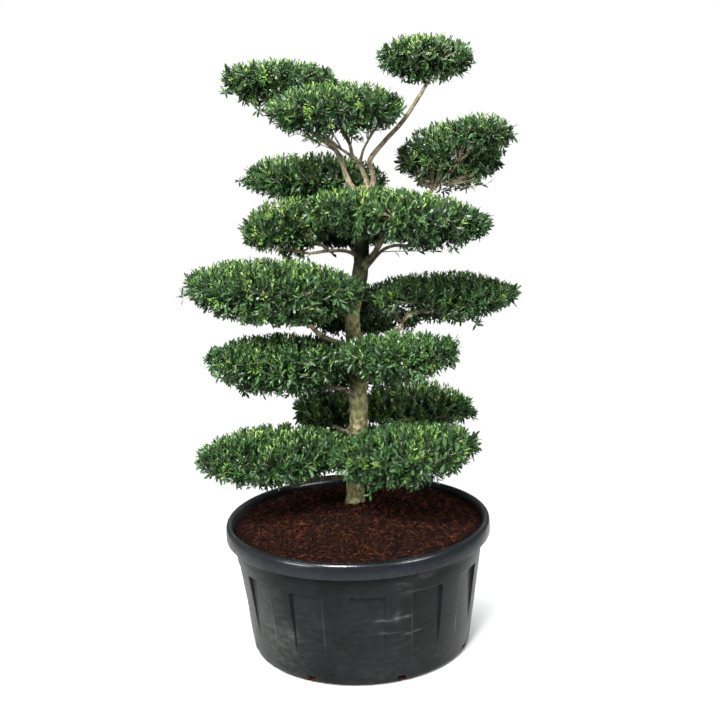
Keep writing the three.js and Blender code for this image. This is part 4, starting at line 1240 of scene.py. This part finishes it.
def ramp(tree, value, low, high, first=0.0, last=1.0, smooth=False):
    """A value taken from low and high to first and last, in a straight line or smoothly."""
    ends = [("From Min", low), ("From Max", high), ("To Min", first), ("To Max", last)]
    kind = "SMOOTHSTEP" if smooth else "LINEAR"
    node = add_node(tree, "ShaderNodeMapRange", [("Value", value), *ends], interpolation_type=kind)
    return node.outputs["Result"]


def noise(tree, vector, scale, detail):
    """Noise over a vector, from 0 to 1."""
    sockets = [("Vector", vector), ("Scale", scale), ("Detail", detail)]
    return add_node(tree, "ShaderNodeTexNoise", sockets).outputs["Fac"]


def stretched(tree, vector, scale):
    """A vector with each of its three numbers scaled."""
    return add_node(tree, "ShaderNodeMapping", [("Vector", vector), ("Scale", scale)]).outputs[0]


def part_of(tree, vector, letter):
    """One of a vector's three numbers."""
    return add_node(tree, "ShaderNodeSeparateXYZ", [(0, vector)]).outputs[letter]


def object_coordinates(tree):
    """Places in metres from the object's origin."""
    return tree.nodes.new("ShaderNodeTexCoord").outputs["Object"]


def own_attribute(tree, name):
    """A mesh attribute's outputs."""
    return add_node(tree, "ShaderNodeAttribute", attribute_name=name).outputs


def node_group(name, inputs, outputs):
    """A shader node group with named sockets, what comes into it and what goes out."""
    group = bpy.data.node_groups.new(name, "ShaderNodeTree")
    for label, kind in inputs.items():
        group.interface.new_socket(name=label, in_out="INPUT", socket_type="NodeSocket" + kind)
    for label, kind in outputs.items():
        group.interface.new_socket(name=label, in_out="OUTPUT", socket_type="NodeSocket" + kind)
    given = group.nodes.new("NodeGroupInput").outputs
    result = group.nodes.new("NodeGroupOutput").inputs
    return group, given, result


def mottle_group():
    """Two noises blend three colours: the broad one picks between dark and light, the fine one
    adds the accent colour where it is highest. Height is the sum of both."""
    numbers = ("Broad Scale", "Fine Scale", "Accent Amount")
    inputs = {"Vector": "Vector", **dict.fromkeys(numbers, "Float")}
    inputs.update(dict.fromkeys(("Dark", "Light", "Accent"), "Color"))
    group, given, result = node_group("mottle", inputs, {"Color": "Color", "Height": "Float"})
    broad = noise(group, given["Vector"], given["Broad Scale"], 4.0)
    fine = noise(group, given["Vector"], given["Fine Scale"], 3.0)
    body = blend(group, ramp(group, broad, 0.34, 0.66, smooth=True), given["Dark"], given["Light"])
    peak = ramp(group, fine, 0.5, 0.72, smooth=True)
    amount = reckon(group, "MULTIPLY", peak, given["Accent Amount"])
    feed(group, result["Color"], blend(group, amount, body, given["Accent"]))
    feed(group, result["Height"], reckon(group, "ADD", broad, fine))
    return group


def dust_group():
    """A mask from 0 to 1: fine noise times the sum of the wear, with its painted highlights and
    sheen and, below 0, its painted shade, and of broad noise that grows towards the foot."""
    inputs = {"Vector": "Vector", "Wear": "Float", "Amount": "Float"}
    group, given, result = node_group("dust", inputs, {"Mask": "Float"})
    cloud = ramp(group, noise(group, given["Vector"], 5.0, 6.0), 0.35, 0.75)
    low = ramp(group, part_of(group, given["Vector"], "Z"), 0.4, 0.0)
    base = reckon(group, "MULTIPLY_ADD", cloud, low, 0.12)
    worn = reckon(group, "ADD", reckon(group, "MULTIPLY", base, given["Amount"]), given["Wear"])
    fine = noise(group, stretched(group, given["Vector"], (1.0, 1.0, 2.6)), 30.0, 8.0)
    speck = ramp(group, fine, 0.42, 0.64, 0.3)
    feed(group, result["Mask"], reckon(group, "MULTIPLY", worn, speck, clamp=True))
    return group


def use_group(tree, name, build, sockets):
    """A node group's outputs, fed from pairs; the group is built when it is first used."""
    group = bpy.data.node_groups.get(name) or build()
    node = add_node(tree, "ShaderNodeGroup", node_tree=group)
    for key, value in sockets:
        feed(tree, node.inputs[key], value)
    return node.outputs


def add_mottle(tree, vector, dark, light, accent, amount, broad, fine):
    """The mottle group's outputs, with this material's own colours and scales."""
    colours = [("Dark", dark), ("Light", light), ("Accent", accent)]
    numbers = [("Accent Amount", amount), ("Broad Scale", broad), ("Fine Scale", fine)]
    return use_group(tree, "mottle", mottle_group, [("Vector", vector), *colours, *numbers])


def start_material(name, roughness, specular=0.5, coat=0.0, coat_roughness=0.22):
    """A material, its node tree and its Principled shader's inputs, with their plain values."""
    material = bpy.data.materials.new(name)
    material.use_nodes = True
    shader = material.node_tree.nodes["Principled BSDF"].inputs
    shader["Roughness"].default_value = roughness
    shader["Specular IOR Level"].default_value = specular
    shader["Coat Weight"].default_value = coat
    shader["Coat Roughness"].default_value = coat_roughness
    return material, material.node_tree, shader


def add_bump(tree, shader, height, distance, strength=1.0):
    """A Bump node from a height to the shader's Normal."""
    sockets = [("Height", height), ("Strength", strength), ("Distance", distance)]
    feed(tree, shader["Normal"], add_node(tree, "ShaderNodeBump", sockets).outputs["Normal"])


def mottled_material(name, dark, light, accent, amount, scales, roughness, bump, specular=0.5):
    """Mottled colour on Object coordinates, with a little relief from the same noises."""
    material, tree, shader = start_material(name, roughness, specular)
    mottle = add_mottle(tree, object_coordinates(tree), dark, light, accent, amount, *scales)
    feed(tree, shader["Base Color"], mottle["Color"])
    add_bump(tree, shader, mottle["Height"], bump)
    return material


def shades(colour, darker, lighter):
    """A colour's darker and lighter shades."""
    return tuple(c * darker for c in colour), tuple(min(c * lighter, 1) for c in colour)


def leaf_material(name, colour, back, gloss):
    """A glossy leaf: mottled green, a paler midrib from the leaf's own UV, a paler underside."""
    material, tree, shader = start_material(name, gloss, 0.42, 0.1, 0.36)
    dark, light = shades(colour, 0.72, 1.22)
    mottle = add_mottle(tree, object_coordinates(tree), dark, light, light, 0.35, 16.0, 140.0)
    uv = add_node(tree, "ShaderNodeUVMap", uv_map="along").outputs["UV"]
    off_rib = reckon(tree, "ABSOLUTE", reckon(tree, "SUBTRACT", part_of(tree, uv, "Y"), 0.5))
    ribbed = blend(tree, ramp(tree, off_rib, 0.1, 0.02, 0.0, 0.45), mottle["Color"], back)
    facing = tree.nodes.new("ShaderNodeNewGeometry").outputs["Backfacing"]
    feed(tree, shader["Base Color"], blend(tree, facing, ribbed, back))
    rough = ramp(tree, mottle["Height"], 0.6, 1.4, gloss - 0.08, gloss + 0.12)
    feed(tree, shader["Roughness"], rough)
    return material


def bark_material(name, colour, settings, wood, painted_shade_share):
    """Grey-beige bark on the limb's own coordinates: mottled plates, dark cracks that run along
    the limb, a green film in patches, paler wood on the pruning scars, and painted shade: a dark
    band under the upper masses, thinner where the film is."""
    material, tree, shader = start_material(name, 0.86, 0.12)
    grain = own_attribute(tree, "grain")["Vector"]
    dark, light = shades(colour, 0.4, 1.35)
    mottle = add_mottle(tree, grain, dark, light, wood, 0.5, 55.0, 420.0)
    sunk = ramp(tree, noise(tree, stretched(tree, grain, (1.0, 1.0, 0.16)), 260.0, 4.0), 0.43, 0.34)
    cracked = blend(tree, sunk, mottle["Color"], shades(colour, 0.18, 1)[0])
    film = ramp(tree, noise(tree, grain, 22.0, 5.0), 0.46, 0.68, 0.0, 0.62)
    green = blend(tree, film, cracked, settings.film_colour)
    scar = reckon(tree, "MULTIPLY", own_attribute(tree, "mark")["Fac"], 0.75)
    scarred = blend(tree, scar, green, wood)
    height = part_of(tree, object_coordinates(tree), "Z")
    # painted shade: a dark band on the bark under the upper masses, lighter in the film's patches
    shade_band_start = ramp(tree, height, *SHADE_BAND_FROM, 0.0, painted_shade_share, smooth=True)
    band = reckon(tree, "MULTIPLY", shade_band_start, ramp(tree, height, *SHADE_BAND_TO, 1.0, 0.0, smooth=True))
    band = reckon(tree, "MULTIPLY", band, reckon(tree, "MULTIPLY_ADD", film, -0.25, 1.0))
    feed(tree, shader["Base Color"], blend(tree, band, scarred, settings.painted_shade_colour))
    add_bump(tree, shader, reckon(tree, "SUBTRACT", mottle["Height"], sunk), 0.0016)
    return material


def tub_material(settings):
    """Black polyethylene with a soft sheen, a paler bluer lip that is painted sheen, dust towards the
    foot, pale scuffs, painted sheen at the sides, painted highlights and shade on the panel bevels, and
    fine grain.
    """
    material, tree, shader = start_material("tub_polyethylene", 0.4, 0.06)
    where = object_coordinates(tree)
    height = part_of(tree, where, "Z")
    wear_and_painted_light = own_attribute(tree, "mark")["Fac"]
    dark, light = shades(settings.plastic_colour, 0.75, 1.5)
    mottle = add_mottle(tree, where, dark, light, light, 0.4, 7.0, 70.0)
    sockets = [("Vector", where), ("Wear", wear_and_painted_light), ("Amount", settings.dust)]
    dust = use_group(tree, "dust", dust_group, sockets)["Mask"]
    # painted sheen: the lip is a paler, bluer black from this height up
    lip = ramp(tree, height, *LIP_FROM)
    lip_with_painted_sheen = blend(tree, lip, mottle["Color"], settings.painted_lip_sheen_colour)
    # dust, scuffs, painted highlights and painted sheen share one pale colour
    feed(tree, shader["Base Color"], blend(tree, dust, lip_with_painted_sheen, settings.dust_and_painted_sheen_colour))
    feed(tree, shader["Roughness"], ramp(tree, dust, 0.0, 1.0, 0.27, 0.85))
    wall_shine = ramp(tree, height, *SHADED_WALL, 0.13, 0.0, smooth=True)
    lip_shine = ramp(tree, height, *RUBBED_LIP, 0.4, 1.0)
    level = add_node(tree, "ShaderNodeMix", [(0, lip), (2, wall_shine), (3, lip_shine)]).outputs[0]
    uneven = ramp(tree, mottle["Height"], 0.7, 1.3, 0.45, 1.35)
    # painted shade: no coat where the wear is below 0, on the bevels turned away from the front
    shine = reckon(tree, "MULTIPLY", uneven, ramp(tree, wear_and_painted_light, -0.3, 0.0))
    feed(tree, shader["Coat Weight"], reckon(tree, "MULTIPLY", level, shine, clamp=True))
    add_bump(tree, shader, noise(tree, where, 320.0, 2.0), 0.0006, 0.5)
    return material


def floor_material():
    """A pale matt floor that fades into the sky with the distance from the tub."""
    material, tree, shader = start_material("pale_floor", 0.9)
    where = object_coordinates(tree)
    mottle = add_mottle(tree, where, (0.56,) * 3, (0.6,) * 3, (0.6,) * 3, 0.2, 0.6, 4.0)
    feed(tree, shader["Base Color"], mottle["Color"])
    reach = add_node(tree, "ShaderNodeVectorMath", [(0, where)], operation="LENGTH").outputs["Value"]
    feed(tree, shader["Alpha"], ramp(tree, reach, *FLOOR_FADE, 1.0, 0.0, smooth=True))
    return material


# Settings that a user would change


def colour_setting(name, description, default):
    """A colour with channels from 0 to 1."""
    return FloatVectorProperty(
        name=name, description=description, default=default, size=3, min=0.0, max=1.0, subtype="COLOR"
    )


class HollyTubSettings(bpy.types.PropertyGroup):
    """Finish of the tub."""

    plastic_colour: colour_setting("Plastic", "Colour of the moulded wall", (0.0032, 0.0042, 0.0044))
    drain_colour: colour_setting("Drains", "Compost in the drain holes", (0.04, 0.015, 0.007))
    # painted sheen: the lip's paler, bluer black
    painted_lip_sheen_colour: colour_setting("Lip", "Colour of the lip", (0.0064, 0.0080, 0.0104))
    # also the colour of the painted highlights on the bevels and the painted sheen at the sides
    dust_and_painted_sheen_colour: colour_setting("Dust", "Colour of dust and scuffs", (0.10, 0.104, 0.095))
    dust: FloatProperty(
        name="Dust amount", description="How much dust lies on the wall", default=0.14, min=0.0, max=1.0
    )


class HollySoilSettings(bpy.types.PropertyGroup):
    """Make-up of the soil's surface."""

    soil_colour: colour_setting("Compost", "Colour of the compost", (0.0052, 0.0012, 0.0004))
    fibre_colour: colour_setting("Coir", "Colour of the loose strands", (0.046, 0.0124, 0.0042))
    fibres: IntProperty(
        name="Strands", description="Number of coir strands", default=7500, min=0, max=7600
    )
    lumps: IntProperty(
        name="Crumbs", description="Number of crumbs and chips", default=5200, min=0, max=12000
    )


class HollyWoodSettings(bpy.types.PropertyGroup):
    """Finish of trunk and boughs."""

    bark_colour: colour_setting("Bark", "Main colour of the bark", (0.235, 0.225, 0.108))
    bough_colour: colour_setting("Bough bark", "Main colour of the boughs", (0.25, 0.21, 0.14))
    film_colour: colour_setting("Green film", "Colour of the algae on the bark", (0.15, 0.165, 0.075))
    # painted shade: the dark band on the trunk under the upper masses
    painted_shade_colour: colour_setting("Painted shade on bark", "Trunk under the upper masses", (0.009, 0.012, 0.006))


class HollyLeafSettings(bpy.types.PropertyGroup):
    """Size, number and colours of the leaves."""

    leaf_length: FloatProperty(
        name="Leaf length", description="Length of a full-grown leaf",
        default=0.0285, min=0.01, max=0.05, unit="LENGTH",
    )
    leaf_width: FloatProperty(
        name="Leaf width", description="Width as a share of the length",
        default=0.33, min=0.1, max=0.8, subtype="FACTOR",
    )
    leaves_per_shoot: IntProperty(
        name="Leaves per shoot", description="Leaves along one shoot", default=14, min=4, max=24
    )
    old_leaves: IntProperty(
        name="Old leaves", description="Leaves left on an inner branch", default=9, min=1, max=24
    )
    shoot_spacing: FloatProperty(
        name="Shoot spacing", description="Distance between shoot tips",
        default=0.0305, min=0.02, max=0.1, unit="LENGTH",
    )
    # deep, middle and bright also carry painted light and shade: deep inside and underneath, bright on
    # top
    deep_colour: colour_setting("Deep green", "Oldest leaves", (0.0062, 0.023, 0.0050))
    middle_colour: colour_setting("Middle green", "Most leaves", (0.026, 0.087, 0.018))
    bright_colour: colour_setting("Bright green", "This year's leaves", (0.078, 0.170, 0.028))
    young_colour: colour_setting("Young green", "Leaves at the shoot tips", (0.145, 0.235, 0.040))
    back_colour: colour_setting("Underside", "Paler back of a leaf", (0.045, 0.10, 0.032))


class HollyStudioSettings(bpy.types.PropertyGroup):
    """Light and camera."""

    camera_height: FloatProperty(
        name="Camera height", description="Height of the lens",
        default=1.725, min=0.1, max=5, unit="LENGTH",
    )
    camera_distance: FloatProperty(
        name="Camera distance", description="From the tub's middle",
        default=3.5, min=1, max=20, unit="LENGTH",
    )
    camera_pitch: FloatProperty(
        name="Pitch", description="Downward tilt",
        default=math.radians(10.66), subtype="ANGLE", unit="ROTATION",
    )
    camera_roll: FloatProperty(
        name="Roll", description="Turn about the line of sight",
        default=math.radians(2.0), subtype="ANGLE", unit="ROTATION",
    )
    daylight: FloatProperty(
        name="Daylight", description="Strength of the sky", default=0.33, min=0.0, max=5.0
    )
    key_power: FloatProperty(
        name="Key light", description="Power of the soft box", default=700, min=0, unit="POWER"
    )


# Operators: one for each group of like pieces


def finish_piece(piece, replaced=()):
    """Ties a piece to the frame: the body it rides on, and hides the solids it stands for."""
    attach(piece, BODY)
    if replaced:
        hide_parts(*replaced)


class HOLLY_OT_make_tub(bpy.types.Operator):
    """Make the moulded nursery tub: lip, panelled wall, drain holes and floor"""

    bl_idname = "holly.make_tub"
    bl_label = "Tub"

    def execute(self, context):
        settings = context.scene.holly_tub
        dark, light = shades(settings.drain_colour, 0.3, 1.6)
        scales = (120.0, 400.0)
        compost = mottled_material("drain_compost", dark, light, light, 0.5, scales, 0.9, 0.002, 0.1)
        tub = put("nursery_tub", tub_surface(), [tub_material(settings), compost])
        finish_piece(tub, ["tub"])
        return {"FINISHED"}


class HOLLY_OT_make_soil(bpy.types.Operator):
    """Make the mounded compost with its crumbs, bark chips and coir strands"""

    bl_idname = "holly.make_soil"
    bl_label = "Soil"

    def execute(self, context):
        settings = context.scene.holly_soil
        soil, coir = settings.soil_colour, settings.fibre_colour
        dark, light = shades(soil, 0.3, 2.1)
        ground = mottled_material("compost", dark, light, coir, 0.6, (14.0, 260.0), 0.95, 0.006, 0.08)
        bed = put("compost_bed", soil_surface(), [ground])
        finish_piece(bed, ["soil"])
        strands = []
        for name, tone in (("coir_dark", 0.3), ("coir_middle", 1.1), ("coir_pale", 5.0)):
            low, high = shades(coir, 0.7 * tone, 1.2 * tone)
            colours = (low, high, high)
            strands.append(mottled_material(name, *colours, 0.3, (60.0, 500.0), 0.8, 0.0005, 0.2))
        fibres = put("coir_strands", fibre_surface(settings.fibres, STRAND_SEED), strands)
        finish_piece(fibres)
        crumbs = []
        for name, tone in (("crumb_dark", 0.5), ("crumb_red", 2.0), ("crumb_pale", 7.0)):
            low, high = shades(soil, 0.7 * tone, 1.3 * tone)
            colours = (low, high, high)
            crumbs.append(mottled_material(name, *colours, 0.4, (90.0, 600.0), 0.93, 0.001, 0.15))
        chips = put("compost_crumbs", lump_surface(settings.lumps, CRUMB_SEED), crumbs, smooth=False)
        finish_piece(chips)
        return {"FINISHED"}


class HOLLY_OT_make_trunk(bpy.types.Operator):
    """Make the trunk with its bark relief, root flare and pruning scars"""

    bl_idname = "holly.make_trunk"
    bl_label = "Trunk"

    def execute(self, context):
        settings = context.scene.holly_wood
        # rings down into the soil, rings close together up to the fork, and a rounded end over it
        foot = TRUNK_PATH[0] - UP * np.arange(24, 0, -6)[:, None]
        fine = smooth_path(TRUNK_PATH[::8], 3.2)
        crown = fine[-1] + unit(fine[-1] - fine[-2]) * np.array([[3.0], [6.0], [8.5]])
        path = np.vstack([foot, fine, crown])
        radius = trunk_radius(path[:, 2])
        radius[-3:] *= np.array([0.93, 0.75, 0.42])
        surface = limb_surface(path, radius, 88, TRUNK_SEED, KNOTS, flare=True)
        # the trunk takes the painted shade band nearly in full
        bark = bark_material("trunk_bark", settings.bark_colour, settings, (0.40, 0.32, 0.17), 0.96)
        finish_piece(put("trunk_with_bark", surface, [bark]), ["trunk"])
        return {"FINISHED"}


class HOLLY_OT_make_boughs(bpy.types.Operator):
    """Make the boughs, each with bark relief and a collar where it leaves its parent"""

    bl_idname = "holly.make_boughs"
    bl_label = "Boughs"

    def execute(self, context):
        settings = context.scene.holly_wood
        surfaces = []
        for index, limb in enumerate(LIMBS.values()):
            collar = 26 if limb["parent"] == "trunk" else 9
            sides = 26 if limb["root"] > 8 else 18
            shape = (limb["path"], limb["radius"], sides)
            surfaces.append(limb_surface(*shape, BOUGH_SEED + 5 * index, collar=collar))
        # the boughs take the painted shade band at 0.4 of its strength
        bark = bark_material("bough_bark", settings.bough_colour, settings, (0.30, 0.25, 0.15), 0.4)
        boughs = put("boughs_with_bark", joined(surfaces), [bark])
        finish_piece(boughs, ["bough_" + name for name in LIMBS])
        return {"FINISHED"}


class HOLLY_OT_make_foliage(bpy.types.Operator):
    """Make every mass: twigs by the source's rule and the leaves of every shoot"""

    bl_idname = "holly.make_foliage"
    bl_label = "Foliage"

    def execute(self, context):
        settings = context.scene.holly_leaf
        tints = []
        for name, gloss in (("deep", 0.36), ("middle", 0.37), ("bright", 0.39), ("young", 0.47)):
            colour = getattr(settings, name + "_colour")
            tints.append(leaf_material("leaf_" + name, colour, settings.back_colour, gloss))
        colours = ((0.06, 0.05, 0.03), (0.22, 0.19, 0.11), (0.10, 0.12, 0.045))
        twig = mottled_material("twig_bark", *colours, 0.5, (40.0, 300.0), 0.8, 0.0006)
        for mass in CROWN:
            wood, sprays = grow_mass(mass, settings)
            solids = [tubes(paths, radii, twig_sides(radii[0, 0])) for paths, radii in wood]
            twigs = put("twigs_" + mass["name"], joined(solids), [twig])
            finish_piece(twigs)
            blades = spray_leaves(mass, sprays, settings)
            leaves = put("leaves_" + mass["name"], blades, tints, smooth=False)
            finish_piece(leaves, ["mass_" + mass["name"]])
        return {"FINISHED"}


# The stage: the floor's rings and sides, the lens, and each soft box by its name, place, size
# and share of the key light's power
FLOOR_RINGS, FLOOR_SIDES = (12000, 6000, 3000, 1600, 900, 400, 2), 64
FOCAL_PIXELS, PHOTO_PIXELS, SENSOR_WIDTH = 977.0, 720.0, 36.0
CAMERA_SIDE = 0.0285
LIGHT_AIM = (0, 0, 1.1)
SOFT_BOXES = (
    ("key_box", (-1.3, -3.9, 4.1), 1.8, 1),
    ("side_box", (3.2, -3.2, 1.9), 2.0, 0.2),
    ("fill_box", (-3.4, -3.0, 1.2), 2.0, 0.17),
    ("back_box", (1.6, 3.8, 2.4), 2.2, 0.26),
    ("top_box", (0.4, 0.9, 4.8), 2.0, 0.45),
)


class HOLLY_OT_make_studio(bpy.types.Operator):
    """Make the pale floor, the soft light and the camera"""

    bl_idname = "holly.make_studio"
    bl_label = "Studio"

    def execute(self, context):
        settings = context.scene.holly_studio
        angle = TURN * np.arange(FLOOR_SIDES) / FLOOR_SIDES
        r, a = np.meshgrid(FLOOR_RINGS, angle, indexing="ij")
        points = np.stack([r * np.cos(a), r * np.sin(a), 0 * r - 0.5], axis=-1)
        rings = Surface(points, *closed_faces(len(FLOOR_RINGS), FLOOR_SIDES, foot=False))
        put("studio_floor", rings, [floor_material()])
        self.add_sky(settings)
        self.add_lights(settings)
        self.add_camera(settings)
        return {"FINISHED"}

    def add_sky(self, settings):
        """White behind the plant. Its light is a sky that is bright overhead and dim below."""
        world = bpy.data.worlds.new("soft_sky")
        bpy.context.scene.world = world
        bpy.context.scene.view_settings.view_transform = "Standard"
        world.use_nodes = True
        tree = world.node_tree
        shown = tree.nodes["Background"]
        feed(tree, shown.inputs["Color"], (1.0, 1.0, 1.0))
        rise = part_of(tree, tree.nodes.new("ShaderNodeTexCoord").outputs["Generated"], "Z")
        glow = ramp(tree, rise, -0.2, 0.75, 0.1 * settings.daylight, settings.daylight)
        sockets = [("Strength", glow), ("Color", (0.93, 0.97, 1.0))]
        lit = add_node(tree, "ShaderNodeBackground", sockets)
        seen = tree.nodes.new("ShaderNodeLightPath").outputs["Is Camera Ray"]
        sockets = [(0, seen), (1, lit.outputs[0]), (2, shown.outputs[0])]
        chosen = add_node(tree, "ShaderNodeMixShader", sockets)
        tree.links.new(chosen.outputs[0], tree.nodes["World Output"].inputs["Surface"])

    def add_lights(self, settings):
        """Soft boxes: a strong one high in front, weak ones low at both sides, one above, and one
        behind, which the lip doesn't mirror."""
        for name, place, size, share in SOFT_BOXES:
            light = bpy.data.lights.new(name, "AREA")
            light.shape = "DISK"
            light.size = size
            light.energy = settings.key_power * share
            lamp = bpy.data.objects.new(name, light)
            lamp.location = place
            lamp.visible_glossy = name != "back_box"
            aim = Vector(LIGHT_AIM) - Vector(place)
            lamp.rotation_euler = aim.to_track_quat("-Z", "Y").to_euler()
            bpy.context.scene.collection.objects.link(lamp)

    def add_camera(self, settings):
        """The photograph's view: level direction +Y, tilted down, then rolled about its own axis."""
        data = bpy.data.cameras.new("photo_camera")
        data.sensor_width = SENSOR_WIDTH
        data.lens = FOCAL_PIXELS / PHOTO_PIXELS * SENSOR_WIDTH
        camera = bpy.data.objects.new("photo_camera", data)
        tilt = Matrix.Rotation(math.pi / 2 - settings.camera_pitch, 3, "X")
        roll = Matrix.Rotation(-settings.camera_roll, 3, "Z")
        camera.rotation_euler = (tilt @ roll).to_euler()
        camera.location = (CAMERA_SIDE, -settings.camera_distance, settings.camera_height)
        bpy.context.scene.collection.objects.link(camera)
        bpy.context.scene.camera = camera


OPERATORS = (
    HOLLY_OT_make_tub,
    HOLLY_OT_make_soil,
    HOLLY_OT_make_trunk,
    HOLLY_OT_make_boughs,
    HOLLY_OT_make_foliage,
    HOLLY_OT_make_studio,
)
SETTINGS = (
    ("holly_tub", HollyTubSettings),
    ("holly_soil", HollySoilSettings),
    ("holly_wood", HollyWoodSettings),
    ("holly_leaf", HollyLeafSettings),
    ("holly_studio", HollyStudioSettings),
)


class HOLLY_PT_sidebar(bpy.types.Panel):
    """Lists the pieces and their settings"""

    bl_idname = "HOLLY_PT_sidebar"
    bl_label = "Cloud-pruned Holly"
    bl_space_type = "VIEW_3D"
    bl_region_type = "UI"
    bl_category = "Holly"

    def draw(self, context):
        for attribute, group in SETTINGS:
            box = self.layout.box()
            box.label(text=group.__doc__)
            for name in group.__annotations__:
                box.prop(getattr(context.scene, attribute), name)
        for operator in OPERATORS:
            self.layout.operator(operator.bl_idname)


def register():
    for _, group in SETTINGS:
        bpy.utils.register_class(group)
    for attribute, group in SETTINGS:
        setattr(bpy.types.Scene, attribute, PointerProperty(type=group))
    for cls in (*OPERATORS, HOLLY_PT_sidebar):
        bpy.utils.register_class(cls)


def unregister():
    for cls in (HOLLY_PT_sidebar, *reversed(OPERATORS)):
        bpy.utils.unregister_class(cls)
    for attribute, group in reversed(SETTINGS):
        delattr(bpy.types.Scene, attribute)
        bpy.utils.unregister_class(group)


def main():
    """Builds every piece in order."""
    register()
    for step in ("tub", "soil", "trunk", "boughs", "foliage", "studio"):
        getattr(bpy.ops.holly, "make_" + step)()
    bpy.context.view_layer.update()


if __name__ == "__main__":
    main()
